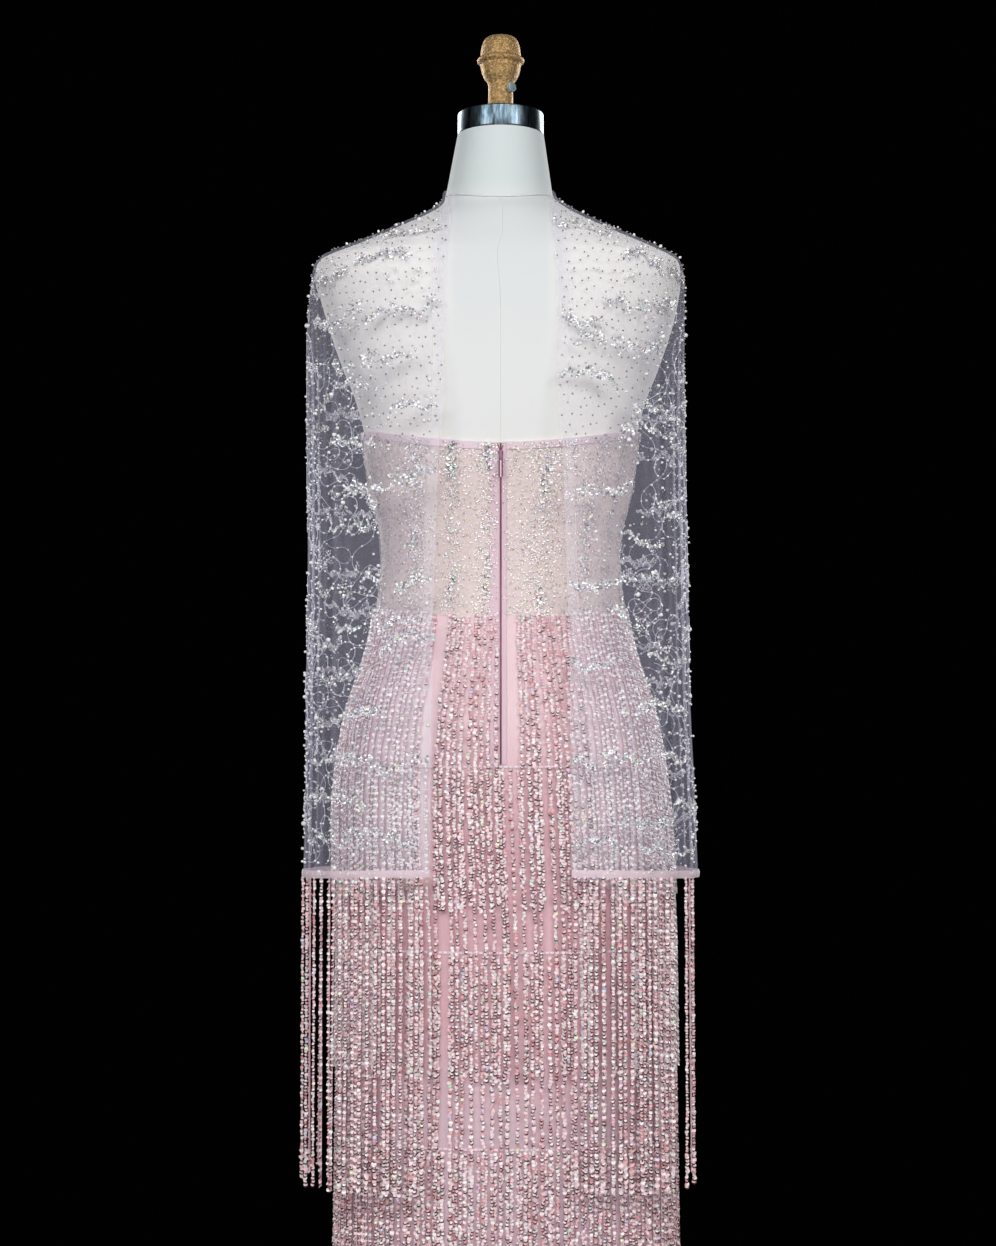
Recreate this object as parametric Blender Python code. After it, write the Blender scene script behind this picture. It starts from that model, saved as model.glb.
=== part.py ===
"""A strapless fringe dress with its sheer cape, on a limbless dress form and stand.

Metres, +Z up. The origin is on the floor, on the axis of the stand's pole. The gown faces -Y, so its zip and
the cape's opening are on the +Y side, and the wearer's left is +X.
"""

import math

import bmesh
import bpy
import numpy as np

# Cloth and the gaps between its layers.
SEAM_GAP = 0.0003
REST_GAP = 0.0010
CLOTH = 0.0015
TULLE = 0.0010
TRIM = 0.0010
ZIP_TAPE = 0.0008

# The gown's edges and seams.
BODICE_TOP_AT_SIDES = 1.263
BODICE_TOP_BACK_DIP = 0.022
BODICE_TOP_FRONT_RISE = 0.029
BODICE_TOP_BINDING = 0.007
WAIST_JOIN_AT_SIDES = 1.076
WAIST_JOIN_DIP = 0.012
SKIRT_HEM = 0.045
SIDE_LEFT = 0.0
BACK_SEAM_LEFT = 65.0
CENTRE_BACK = 90.0
BACK_SEAM_RIGHT = 115.0
SIDE_RIGHT = 180.0
FRONT_SEAM_RIGHT = 235.0
CENTRE_FRONT = 270.0
FRONT_SEAM_LEFT = 305.0

# Fringe: rows of trim, each hanging its whole length and swinging out over the row below.
FRINGE_LENGTH = 0.308
FRINGE_THICKNESS = 0.0015
FRINGE_ROWS = (0.9155, 0.7335, 0.5430, 0.3530)
FRINGE_SWING = 0.0132
FRINGE_ZIP_CLEARANCE = 0.0125

# Zip at the centre back. The tape shows wider on the wearer's left.
ZIP_TOP = 1.2402
ZIP_END = 0.918
ZIP_CHAIN_WIDTH = 0.0018
TAPE_LEFT_WIDTH = 0.0095
TAPE_RIGHT_WIDTH = 0.0045
SLIDER_HEIGHT = 1.2280
SLIDER_PLATE = (0.0050, 0.0012, 0.0105)
SLIDER_BRIDGE_WIDTH = 0.0016
SLIDER_BRIDGE_LENGTH = 0.0078
SLIDER_BRIDGE_BAR = 0.0009
SLIDER_BRIDGE_CLEAR = 0.0017
PULL_WIDTH = 0.0040
PULL_LENGTH = 0.0200
PULL_THICKNESS = 0.0008
PULL_EYE_WIDTH = 0.0024
PULL_EYE_LENGTH = 0.0029

# The cape: it rests on the shoulders down to REST_LEVEL and hangs free below.
CAPE_NECK = 1.516
CAPE_REST_LEVEL = 1.425
CAPE_REST_GAP = 0.0026
CAPE_HEM = 0.803
CAPE_BAND_WIDTH = 0.011
CAPE_BINDING_HEIGHT = 0.0075
CAPE_FOLD_DEPTH = 0.006
CAPE_FOLD_PLACE = 14.0
CAPE_FOLD_SPREAD = 5.0
CAPE_FOLD_START = 0.125

# Dress form and stand.
TORSO_BOTTOM = 0.820
NECK_SEAM = 1.511
NECK_TOP = 1.5780
NECK_TOP_RADIUS = 0.0455
CAP_RADIUS = 0.0453
CAP_TOP = 1.6010
CAP_EDGE = 0.0012
KNOB_TOP = 1.6845
SCREW_HEIGHT = 1.6275
SCREW_BEARING = 136.0
SCREW_HEAD_RADIUS = 0.0050
SCREW_HEAD_LENGTH = 0.0045
SCREW_SHANK_RADIUS = 0.0026
SCREW_SHANK_LENGTH = 0.0050
STEM_RADIUS = 0.0130
POLE_RADIUS = 0.0160
COLLAR_HEIGHT = 0.038
COLLAR_RADIUS = 0.050
COLLAR_PLATE = 0.008
COLLAR_SOCKET_RADIUS = 0.024
BASE_RADIUS = 0.200
BASE_EDGE = 0.010
HUB_TOP = 0.040
HUB_RADIUS = 0.028
HUB_FOOT = 0.017
TURNED_SIDES = 32

# The knob's outline from its top: radius, and how far down.
KNOB_OUTLINE = (
    (0.0000, 0.0000),
    (0.0110, 0.0002),
    (0.0142, 0.0010),
    (0.0166, 0.0028),
    (0.0188, 0.0063),
    (0.0202, 0.0115),
    (0.0213, 0.0200),
    (0.0214, 0.0225),
    (0.0249, 0.0247),
    (0.0249, 0.0273),
    (0.0212, 0.0303),
    (0.0208, 0.0341),
    (0.0194, 0.0400),
    (0.0173, 0.0447),
    (0.0141, 0.0493),
    (STEM_RADIUS, 0.0517),
)

# Bust of the figure: a mound at each front seam, added to the front of its sections.
BUST_FROM_CENTRE = 35.0
BUST_SPREAD = 17.0
BUST_LEVEL = 1.258
BUST_UNDER = 1.228

# Level sections of the figure, from the hem up. A row that dips is lower at the centre than at the sides, and
# a row that leans is off to the left.
FIGURE_COLUMNS = ("height", "half_width", "back", "front", "square", "back_dip", "front_dip", "bust", "lean")
FIGURE_ROWS = (
    (0.045, 0.1685, 0.1150, 0.1080, 2.10, 0.000, 0.000, 0.000, -0.0055),
    (0.720, 0.1685, 0.1150, 0.1080, 2.10, 0.000, 0.000, 0.000, -0.0055),
    (0.808, 0.1695, 0.1165, 0.1070, 2.10, 0.000, 0.000, 0.000, -0.003),
    (0.870, 0.1685, 0.1180, 0.1060, 2.10, 0.000, 0.000, 0.000, -0.001),
    (0.913, 0.1650, 0.1180, 0.1045, 2.10, 0.000, 0.000, 0.000, 0.000),
    (0.960, 0.1575, 0.1155, 0.1015, 2.10, 0.000, 0.000, 0.000, 0.000),
    (1.000, 0.1465, 0.1085, 0.0975, 2.10, 0.000, 0.000, 0.000, 0.000),
    (1.030, 0.1360, 0.1000, 0.0940, 2.10, 0.000, 0.000, 0.000, 0.000),
    (1.062, 0.1295, 0.0925, 0.0905, 2.10, 0.000, 0.000, 0.000, 0.000),
    (1.106, 0.1225, 0.0840, 0.0860, 2.10, 0.000, 0.000, 0.000, 0.000),
    (1.128, 0.1215, 0.0820, 0.0850, 2.10, 0.000, 0.000, 0.000, 0.000),
    (1.158, 0.1235, 0.0825, 0.0890, 2.10, 0.000, 0.000, 0.000, 0.000),
    (1.194, 0.1320, 0.0865, 0.0970, 2.10, 0.000, 0.000, 0.004, 0.000),
    (1.228, 0.1380, 0.0910, 0.1060, 2.10, 0.000, 0.000, 0.013, 0.000),
    (1.258, 0.1415, 0.0955, 0.1120, 2.10, 0.000, 0.000, 0.018, 0.000),
    (1.297, 0.1515, 0.1005, 0.1130, 2.10, 0.000, 0.000, 0.012, 0.000),
    (1.328, 0.1640, 0.1035, 0.1110, 2.10, 0.000, 0.000, 0.004, 0.000),
    (1.370, 0.1785, 0.1050, 0.1050, 2.15, 0.000, 0.000, 0.000, 0.000),
    (1.400, 0.1865, 0.1040, 0.0980, 2.20, 0.000, 0.000, 0.000, 0.001),
    (1.425, 0.1915, 0.1010, 0.0920, 2.20, 0.000, 0.008, 0.000, 0.003),
    (1.440, 0.1895, 0.0970, 0.0880, 2.20, 0.001, 0.018, 0.000, 0.0025),
    (1.457, 0.1575, 0.0900, 0.0800, 2.10, 0.003, 0.030, 0.000, -0.0015),
    (1.466, 0.1365, 0.0855, 0.0760, 2.06, 0.0043, 0.035, 0.000, -0.002),
    (1.479, 0.1075, 0.0790, 0.0700, 2.00, 0.006, 0.042, 0.000, -0.002),
    (1.498, 0.0695, 0.0680, 0.0620, 2.00, 0.009, 0.052, 0.000, -0.002),
    (1.507, 0.0590, 0.0610, 0.0570, 2.00, 0.011, 0.056, 0.000, 0.000),
    (1.511, 0.0565, 0.0590, 0.0560, 2.00, 0.012, 0.057, 0.000, 0.0015),
)

# Level sections of the cape's inner face where it hangs, from the hem up.
CAPE_COLUMNS = ("height", "half_width", "back", "front", "square", "back_dip", "front_dip", "lean")
CAPE_ROWS = (
    (0.803, 0.2030, 0.1360, 0.1375, 2.30, -0.0055, 0.000, 0.000),
    (0.900, 0.2005, 0.1325, 0.1365, 2.30, -0.0035, 0.000, 0.001),
    (1.000, 0.1985, 0.1280, 0.1355, 2.30, -0.0015, 0.000, 0.003),
    (1.120, 0.1972, 0.1225, 0.1340, 2.30, 0.000, 0.000, 0.003),
    (1.220, 0.1966, 0.1175, 0.1320, 2.30, 0.000, 0.000, 0.0045),
    (1.300, 0.1968, 0.1135, 0.1270, 2.30, 0.000, 0.000, 0.005),
    (1.360, 0.1968, 0.1105, 0.1150, 2.25, 0.000, 0.000, 0.005),
    (1.400, 0.1962, 0.1070, 0.1050, 2.20, 0.000, 0.002, 0.004),
    (1.425, 0.1940, 0.1035, 0.0945, 2.20, 0.000, 0.008, 0.003),
)

# Half the width of the cape's open back, from the hem up.
OPENING_COLUMNS = ("height", "half_width")
OPENING_ROWS = (
    (0.803, 0.0690),
    (1.030, 0.0675),
    (1.160, 0.0635),
    (1.240, 0.0610),
    (1.280, 0.0565),
    (1.380, 0.0564),
    (1.440, 0.0540),
    (1.479, 0.0515),
    (1.516, 0.0530),
)


def as_table(columns, rows):
    """Each named column of a table as an array."""
    return {name: np.array(values) for name, values in zip(columns, zip(*rows))}


FIGURE = as_table(FIGURE_COLUMNS, FIGURE_ROWS)
CAPE = as_table(CAPE_COLUMNS, CAPE_ROWS)
OPENING = as_table(OPENING_COLUMNS, OPENING_ROWS)


# ---- surfaces: a point for a height and an angle round the figure, 0 at the left side and 90 at the back


def read_off(table, name, height):
    return float(np.interp(height, table["height"], table[name]))


def section_point(table, angle, height):
    """The point of a rounded section whose half width, depth and squareness come from the table."""
    turn = math.radians(angle)
    across, along = math.cos(turn), math.sin(turn)
    side = "back" if along > 0 else "front"
    square = read_off(table, "square", height)
    reach = (abs(across) ** square + abs(along) ** square) ** (-1 / square)
    x = read_off(table, "half_width", height) * reach * across + read_off(table, "lean", height)
    y = read_off(table, side, height) * reach * along
    z = height - read_off(table, side + "_dip", height) * along**2
    return np.array((x, y, z))


def bell(value, centre, spread):
    return math.exp(-(((value - centre) / spread) ** 2))


def figure(angle, height):
    """The figure under the gown, with its bust."""
    point = section_point(FIGURE, angle, height)
    from_centre = abs(angle % 360 - CENTRE_FRONT)
    point[1] -= read_off(FIGURE, "bust", height) * bell(from_centre, BUST_FROM_CENTRE, BUST_SPREAD)
    return point


def outward(surface, angle, height):
    """The unit normal of a surface at a point, pointing away from the figure."""
    turn, rise = 1.0, 0.004
    around = surface(angle + turn, height) - surface(angle - turn, height)
    upward = surface(angle, height + rise) - surface(angle, height - rise)
    normal = np.cross(around, upward)
    return normal / np.linalg.norm(normal)


def moved_out(surface, angle, height, distance):
    return surface(angle, height) + distance * outward(surface, angle, height)


def cape(angle, height):
    """The cape's inner face: it follows the figure on the shoulders, and has a fold at each side below."""
    if height >= CAPE_REST_LEVEL:
        return moved_out(figure, angle, height, CAPE_REST_GAP)
    point = section_point(CAPE, angle, height)
    from_side = abs((angle + 90) % 180 - 90)
    deepening = min(1.0, (CAPE_REST_LEVEL - height) / CAPE_FOLD_START)
    inset = CAPE_FOLD_DEPTH * deepening * bell(from_side, CAPE_FOLD_PLACE, CAPE_FOLD_SPREAD)
    point[0] -= math.copysign(inset, point[0])
    return point


def speed(surface, angle, height):
    """How far a point moves on the surface for each degree of angle."""
    return float(np.linalg.norm(surface(angle + 0.5, height) - surface(angle - 0.5, height)))


def angle_beside(surface, angle, height, distance):
    """The angle a distance along the surface from another one; a negative distance goes back."""
    return angle + distance / speed(surface, angle, height)


# ---- meshes


def paint(obj, name, colour, roughness, metallic):
    """Gives an object the named material, made the first time that it is asked for."""
    material = bpy.data.materials.get(name)
    if material is None:
        material = bpy.data.materials.new(name)
        material.use_nodes = True
        shader = material.node_tree.nodes["Principled BSDF"]
        shader.inputs["Base Color"].default_value = (*colour, 1)
        shader.inputs["Roughness"].default_value = roughness
        shader.inputs["Metallic"].default_value = metallic
    obj.data.materials.append(material)
    return obj


def make_object(name, mesh, finish):
    obj = bpy.data.objects.new(name, mesh)
    bpy.context.scene.collection.objects.link(obj)
    return paint(obj, *finish)


def mesh_from(name, points, faces):
    """A closed mesh whose faces point outwards."""
    built = bmesh.new()
    corners = [built.verts.new(point) for point in points]
    for face in faces:
        built.faces.new([corners[index] for index in face])
    bmesh.ops.recalc_face_normals(built, faces=built.faces)
    mesh = bpy.data.meshes.new(name)
    built.to_mesh(mesh)
    built.free()
    return mesh


def quad(a, b, c, d):
    """Two triangles, always split along the same diagonal, so that nested walls stay parallel."""
    return [(a, b, c), (a, c, d)]


def wall(name, surface, angles, heights, inner, thickness, finish, ring=False):
    """A cloth wall on a surface.

    angles and heights are grids of the same shape, a row for each level from the top down. The wall's inner
    face is inner from the surface, one distance for each row. A ring closes on itself.
    """
    rows, columns = angles.shape
    inner = np.broadcast_to(inner, (rows,))
    points = []
    for layer in (0.0, thickness):
        for row in range(rows):
            for column in range(columns):
                distance = inner[row] + layer
                points.append(moved_out(surface, angles[row, column], heights[row, column], distance))
    spans = columns if ring else columns - 1

    def at(layer, row, column):
        return (layer * rows + row) * columns + column % columns

    faces = []
    for column in range(spans):
        for row in range(rows - 1):
            for layer in (0, 1):
                faces += quad(
                    at(layer, row, column),
                    at(layer, row + 1, column),
                    at(layer, row + 1, column + 1),
                    at(layer, row, column + 1),
                )
        after = column + 1
        for row in (0, rows - 1):
            faces += quad(at(0, row, column), at(1, row, column), at(1, row, after), at(0, row, after))
    if not ring:
        for column in (0, columns - 1):
            for row in range(rows - 1):
                below = row + 1
                edge = (at(0, row, column), at(1, row, column), at(1, below, column), at(0, below, column))
                faces += quad(*edge)
    return make_object(name, mesh_from(name, points, faces), finish)


def solid_through(name, rings, finish):
    """A closed solid through rings of points, from the top down, with a fan of faces at each end."""
    columns = len(rings[0])
    points = [point for ring in rings for point in ring]
    faces = []
    for row in range(len(rings) - 1):
        for column in range(columns):
            after = (column + 1) % columns
            faces += quad(
                row * columns + column,
                (row + 1) * columns + column,
                (row + 1) * columns + after,
                row * columns + after,
            )
    for row in (0, len(rings) - 1):
        middle = len(points)
        points.append(np.mean(rings[row], axis=0))
        for column in range(columns):
            faces.append((middle, row * columns + column, row * columns + (column + 1) % columns))
    return make_object(name, mesh_from(name, points, faces), finish)


def turned(name, profile, finish, sides=TURNED_SIDES):
    """A piece turned on the Z axis from (radius, height) points, from the top down, both ends on the axis."""
    mesh = bpy.data.meshes.new(name)
    points = [(radius, 0, height) for radius, height in profile]
    mesh.from_pydata(points, [(step, step + 1) for step in range(len(points) - 1)], [])
    obj = make_object(name, mesh, finish)
    screw = obj.modifiers.new("Turn", "SCREW")
    screw.steps = sides
    screw.render_steps = sides
    screw.use_merge_vertices = True
    screw.merge_threshold = 0.00001
    return obj


def block(name, size, centre, finish):
    """A box of a size in metres about a centre."""
    built = bmesh.new()
    bmesh.ops.create_cube(built, size=1)
    bmesh.ops.scale(built, vec=size, verts=built.verts)
    bmesh.ops.translate(built, vec=centre, verts=built.verts)
    mesh = bpy.data.meshes.new(name)
    built.to_mesh(mesh)
    built.free()
    return make_object(name, mesh, finish)


def combine(obj, other, operation):
    """Joins a helper to an object or cuts it away, and keeps the helper out of sight."""
    modifier = obj.modifiers.new(operation.title(), "BOOLEAN")
    modifier.operation = operation
    modifier.object = other
    other.hide_render = True
    other.display_type = "WIRE"
    other.parent = obj


# ---- finishes: name, colour, roughness, metallic

NUDE_MESH = ("nude_mesh", (0.58, 0.48, 0.47), 0.60, 0.0)
PINK_SATIN = ("pink_satin", (0.70, 0.33, 0.38), 0.45, 0.0)
SEQUIN_FRINGE = ("sequin_fringe", (0.66, 0.42, 0.46), 0.30, 0.0)
LAVENDER_TULLE = ("lavender_tulle", (0.62, 0.56, 0.68), 0.70, 0.0)
PINK_BINDING = ("pink_binding", (0.75, 0.50, 0.58), 0.50, 0.0)
FORM_CLOTH = ("form_cloth", (0.80, 0.80, 0.78), 0.75, 0.0)
CHROME = ("chrome", (0.70, 0.72, 0.74), 0.15, 1.0)
CAST_BRASS = ("cast_brass", (0.45, 0.27, 0.10), 0.45, 1.0)
BLUE_STEEL = ("blue_steel", (0.40, 0.48, 0.58), 0.30, 1.0)
STAND_PAINT = ("stand_paint", (0.60, 0.60, 0.60), 0.45, 0.0)
PLATED_ZIP = ("plated_zip", (0.62, 0.40, 0.46), 0.35, 0.6)


# ---- grids of angles and heights

PANEL_SPANS = (
    (SIDE_LEFT, BACK_SEAM_LEFT, 6),
    (BACK_SEAM_LEFT, CENTRE_BACK, 3),
    (CENTRE_BACK, BACK_SEAM_RIGHT, 3),
    (BACK_SEAM_RIGHT, SIDE_RIGHT, 6),
    (SIDE_RIGHT, FRONT_SEAM_RIGHT, 5),
    (FRONT_SEAM_RIGHT, FRONT_SEAM_LEFT, 6),
    (FRONT_SEAM_LEFT, SIDE_LEFT + 360, 5),
)
FOLD_LINES = [
    start + (end - start) * step / count for start, end, count in PANEL_SPANS for step in range(count)
]


def lines_between(start, end):
    """The figure's facet lines from one angle to another, both included; the end may pass 360."""
    inside = [line + turn for turn in (0, 360) for line in FOLD_LINES if start < line + turn < end]
    return [start] + sorted(inside) + [end]


def seamed_angles(surface, lines, heights, start_gap, end_gap):
    """A grid of angles that keeps its first and last columns a distance in from their lines."""
    angles = np.tile(np.array(lines, float), (len(heights), 1))
    for row in range(len(heights)):
        angles[row, 0] = angle_beside(surface, lines[0], heights[row][0], start_gap)
        angles[row, -1] = angle_beside(surface, lines[-1], heights[row][-1], -end_gap)
    return angles


def levels(rows, lines):
    """A grid of heights from rows that are each a height or a rule giving the height at an angle."""
    return np.array([[row(line) if callable(row) else row for line in lines] for row in rows])


def bodice_top(angle):
    along = math.sin(math.radians(angle))
    return BODICE_TOP_AT_SIDES + along**2 * (-BODICE_TOP_BACK_DIP if along > 0 else BODICE_TOP_FRONT_RISE)


def binding_edge(angle):
    return bodice_top(angle) - BODICE_TOP_BINDING


def bodice_upper(angle):
    """The level of the bust in front, and a little under the binding where the top edge is lower."""
    return min(BUST_LEVEL, 0.75 * binding_edge(angle) + 0.25 * BUST_UNDER)


def waist_join(angle):
    return WAIST_JOIN_AT_SIDES - WAIST_JOIN_DIP * math.sin(math.radians(angle)) ** 2


def bodice_bottom(angle):
    return waist_join(angle) + SEAM_GAP / 2


def skirt_top(angle):
    return waist_join(angle) - SEAM_GAP / 2


WAIST_LEVELS = (BUST_UNDER, 1.194, 1.158, 1.128, 1.106)
BODICE_LEVELS = (bodice_top, binding_edge, bodice_upper, *WAIST_LEVELS, bodice_bottom)
HIP_LEVELS = (1.030, 1.000, 0.960, 0.913, 0.870, 0.808, 0.720)
SKIRT_LEVELS = (skirt_top, *HIP_LEVELS, SKIRT_HEM)


def panel(name, lines, rows, finish):
    """A bodice or skirt panel between two seams."""
    heights = levels(rows, lines)
    angles = seamed_angles(figure, lines, heights, SEAM_GAP / 2, SEAM_GAP / 2)
    return wall(name, figure, angles, heights, REST_GAP, CLOTH, finish)


# ---- the gown


def bodice():
    seams = (
        ("bodice_back_side_left", SIDE_LEFT, BACK_SEAM_LEFT),
        ("bodice_back_centre_left", BACK_SEAM_LEFT, CENTRE_BACK),
        ("bodice_back_centre_right", CENTRE_BACK, BACK_SEAM_RIGHT),
        ("bodice_back_side_right", BACK_SEAM_RIGHT, SIDE_RIGHT),
        ("bodice_front_side_right", SIDE_RIGHT, FRONT_SEAM_RIGHT),
        ("bodice_front_centre", FRONT_SEAM_RIGHT, FRONT_SEAM_LEFT),
        ("bodice_front_side_left", FRONT_SEAM_LEFT, SIDE_LEFT + 360),
    )
    for name, start, end in seams:
        panel(name, lines_between(start, end), BODICE_LEVELS, NUDE_MESH)


def bodice_binding():
    """A plain strip round the top edge, from one side of the zip to the other."""
    lines = lines_between(CENTRE_BACK, CENTRE_BACK + 360)
    heights = levels((bodice_top, binding_edge), lines)
    beside_right = ZIP_CHAIN_WIDTH / 2 + TAPE_RIGHT_WIDTH + 2 * SEAM_GAP
    beside_left = ZIP_CHAIN_WIDTH / 2 + TAPE_LEFT_WIDTH + 2 * SEAM_GAP
    angles = seamed_angles(figure, lines, heights, beside_right, beside_left)
    wall("bodice_binding", figure, angles, heights, REST_GAP + CLOTH + SEAM_GAP, TRIM, PINK_BINDING)


def skirt():
    """The satin column under the fringe: a front and two backs."""
    for name, start, end in (
        ("skirt_back_left", SIDE_LEFT, CENTRE_BACK),
        ("skirt_back_right", CENTRE_BACK, SIDE_RIGHT),
        ("skirt_front", SIDE_RIGHT, SIDE_LEFT + 360),
    ):
        panel(name, lines_between(start, end), SKIRT_LEVELS, PINK_SATIN)


def fringe_tiers():
    """Five rows of fringe. The first stops at each side of the zip, and the others go all round."""
    start = REST_GAP + CLOTH + SEAM_GAP
    lines = lines_between(CENTRE_BACK, CENTRE_BACK + 360)
    first_bottom = WAIST_JOIN_AT_SIDES - WAIST_JOIN_DIP - FRINGE_LENGTH
    rows = (skirt_top, *(level for level in HIP_LEVELS if level > first_bottom), first_bottom)
    heights = levels(rows, lines)
    clear = FRINGE_ZIP_CLEARANCE
    angles = seamed_angles(figure, lines, heights, clear, clear)
    swing = start + FRINGE_SWING * np.maximum(heights[0].min() - heights.min(axis=1), 0)
    wall("fringe_tier_1", figure, angles, heights, swing, FRINGE_THICKNESS, SEQUIN_FRINGE)
    for number, top in enumerate(FRINGE_ROWS, start=2):
        bottom = top - FRINGE_LENGTH
        rows = (top, *(level for level in HIP_LEVELS if bottom < level < top), bottom)
        heights = levels(rows, FOLD_LINES)
        angles = np.tile(np.array(FOLD_LINES), (len(rows), 1))
        swing = start + FRINGE_SWING * (top - heights[:, 0])
        name = f"fringe_tier_{number}"
        wall(name, figure, angles, heights, swing, FRINGE_THICKNESS, SEQUIN_FRINGE, ring=True)


# ---- the zip


def zip_strip(name, near, far, finish):
    """A strip down the centre back between two distances from its middle line, positive towards the left."""
    rows = (ZIP_TOP, binding_edge, bodice_upper, *WAIST_LEVELS, waist_join, *HIP_LEVELS[:3], ZIP_END)
    heights = levels(rows, (CENTRE_BACK, CENTRE_BACK))
    edges = sorted((-near, -far))
    grid = [[angle_beside(figure, CENTRE_BACK, row[0], edge) for edge in edges] for row in heights]
    angles = np.array(grid)
    wall(name, figure, angles, heights, REST_GAP + CLOTH + SEAM_GAP, ZIP_TAPE, finish)


def zip_fastener():
    chain = ZIP_CHAIN_WIDTH / 2
    zip_strip("zip_chain", -chain, chain, PLATED_ZIP)
    zip_strip("zip_tape_left", chain + SEAM_GAP, chain + SEAM_GAP + TAPE_LEFT_WIDTH, PINK_BINDING)
    zip_strip("zip_tape_right", -chain - SEAM_GAP, -chain - SEAM_GAP - TAPE_RIGHT_WIDTH, PINK_BINDING)
    slider_and_pull()


def slider_and_pull():
    """The slider lies on the chain. The pull tab's cross bar turns in its bridge about an axis along X."""
    seat = REST_GAP + CLOTH + SEAM_GAP + ZIP_TAPE + SEAM_GAP
    low, high = (
        moved_out(figure, CENTRE_BACK, SLIDER_HEIGHT + end * SLIDER_PLATE[2] / 2, seat) for end in (-1, 1)
    )
    lean = math.atan2(high[1] - low[1], high[2] - low[2])
    origin = (low + high) / 2
    plate = block("zip_slider", SLIDER_PLATE, (0, SLIDER_PLATE[1] / 2, 0), PLATED_ZIP)
    bar, clear = SLIDER_BRIDGE_BAR, SLIDER_BRIDGE_CLEAR
    sunk = SLIDER_PLATE[1] / 2
    height = sunk + clear + bar
    centre = (0, SLIDER_PLATE[1] - sunk + height / 2, 0)
    bridge = block("bridge", (SLIDER_BRIDGE_WIDTH, height, SLIDER_BRIDGE_LENGTH), centre, PLATED_ZIP)
    window = block(
        "window",
        (SLIDER_BRIDGE_WIDTH * 2, clear, SLIDER_BRIDGE_LENGTH - 2 * bar),
        (0, SLIDER_PLATE[1] + clear / 2, 0),
        PLATED_ZIP,
    )
    combine(plate, bridge, "UNION")
    combine(plate, window, "DIFFERENCE")
    plate.location = origin
    plate.rotation_euler = (-lean, 0, 0)
    axis = np.array((0, SLIDER_PLATE[1] + clear / 2, -SLIDER_BRIDGE_LENGTH / 2 + bar + clear / 2))
    turned_axis = np.array(
        (
            0,
            axis[1] * math.cos(lean) + axis[2] * math.sin(lean),
            -axis[1] * math.sin(lean) + axis[2] * math.cos(lean),
        )
    )
    half = PULL_THICKNESS / 2
    pull = block(
        "zip_pull",
        (PULL_WIDTH, PULL_THICKNESS, PULL_LENGTH),
        (0, 0, half - PULL_LENGTH / 2),
        PLATED_ZIP,
    )
    eye = block(
        "eye",
        (PULL_EYE_WIDTH, PULL_THICKNESS * 3, PULL_EYE_LENGTH),
        (0, 0, -half - PULL_EYE_LENGTH / 2),
        PLATED_ZIP,
    )
    combine(pull, eye, "DIFFERENCE")
    pull.location = origin + turned_axis


# ---- the cape

SHOULDER_LEVELS = (CAPE_NECK, 1.507, 1.498, 1.479, 1.466, 1.457, 1.440, CAPE_REST_LEVEL)
CAPE_LEVELS = (*SHOULDER_LEVELS, 1.400, 1.360, 1.300, 1.220, 1.120, 1.000, 0.900)
CAPE_BACK_STEPS = (0.0, 0.10, 0.20, 0.30, 0.46, 0.64, 0.82, 1.0)
CAPE_FRONT_STEPS = (0, 7, 14, 21, 32, 45, 58, 74, 90)


def opening_angle(height, toward):
    """How far round from its side line an opening edge of the cape is: toward is 1 for the left, -1 for the right."""
    target = read_off(OPENING, "half_width", height)
    low, high = BACK_SEAM_LEFT / 2, CENTRE_BACK
    for _ in range(24):
        middle = (low + high) / 2
        if toward * cape(CENTRE_BACK - toward * (CENTRE_BACK - middle), height)[0] > target:
            low = middle
        else:
            high = middle
    return (low + high) / 2


def back_cape_angles(heights, toward):
    """Columns of one back, from the side line to the opening edge, with one at the band's inner edge."""
    grid = []
    for height in heights:
        side = angle_beside(cape, SIDE_LEFT, height, SEAM_GAP / 2)
        edge = opening_angle(height, toward)
        band = angle_beside(cape, edge, height, -CAPE_BAND_WIDTH)
        grid.append([side + (band - side) * step for step in CAPE_BACK_STEPS] + [edge])
    return np.array(grid)


def front_cape_angles(heights):
    """Columns of the front, from the right side seam to the left."""
    right = [SIDE_RIGHT + step for step in CAPE_FRONT_STEPS]
    left = [SIDE_LEFT + 360 - step for step in reversed(CAPE_FRONT_STEPS[:-1])]
    lines = right + left
    return seamed_angles(cape, lines, [[height] * 2 for height in heights], SEAM_GAP / 2, SEAM_GAP / 2)


def mirrored(angles):
    """The same columns on the other side, in their own order."""
    return (180 - angles)[:, ::-1]


def below_hem(angle, height):
    """The surface that hangs straight down from the cape's hem."""
    return cape(angle, CAPE_HEM) + np.array((0, 0, height - CAPE_HEM))


def cape_strips(kind, surface, levels_used, rows, inner, thickness, finish):
    """The same strip or panel on the cape's front and both backs. Its columns are found at levels_used."""
    columns = {
        "back_left": back_cape_angles(levels_used, 1),
        "back_right": mirrored(back_cape_angles(levels_used, -1)),
        "front": front_cape_angles(levels_used),
    }
    for side, angles in columns.items():
        heights = np.tile(np.array(rows)[:, None], (1, angles.shape[1]))
        wall(f"{kind}_{side}", surface, angles, heights, inner, thickness, finish)


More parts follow.
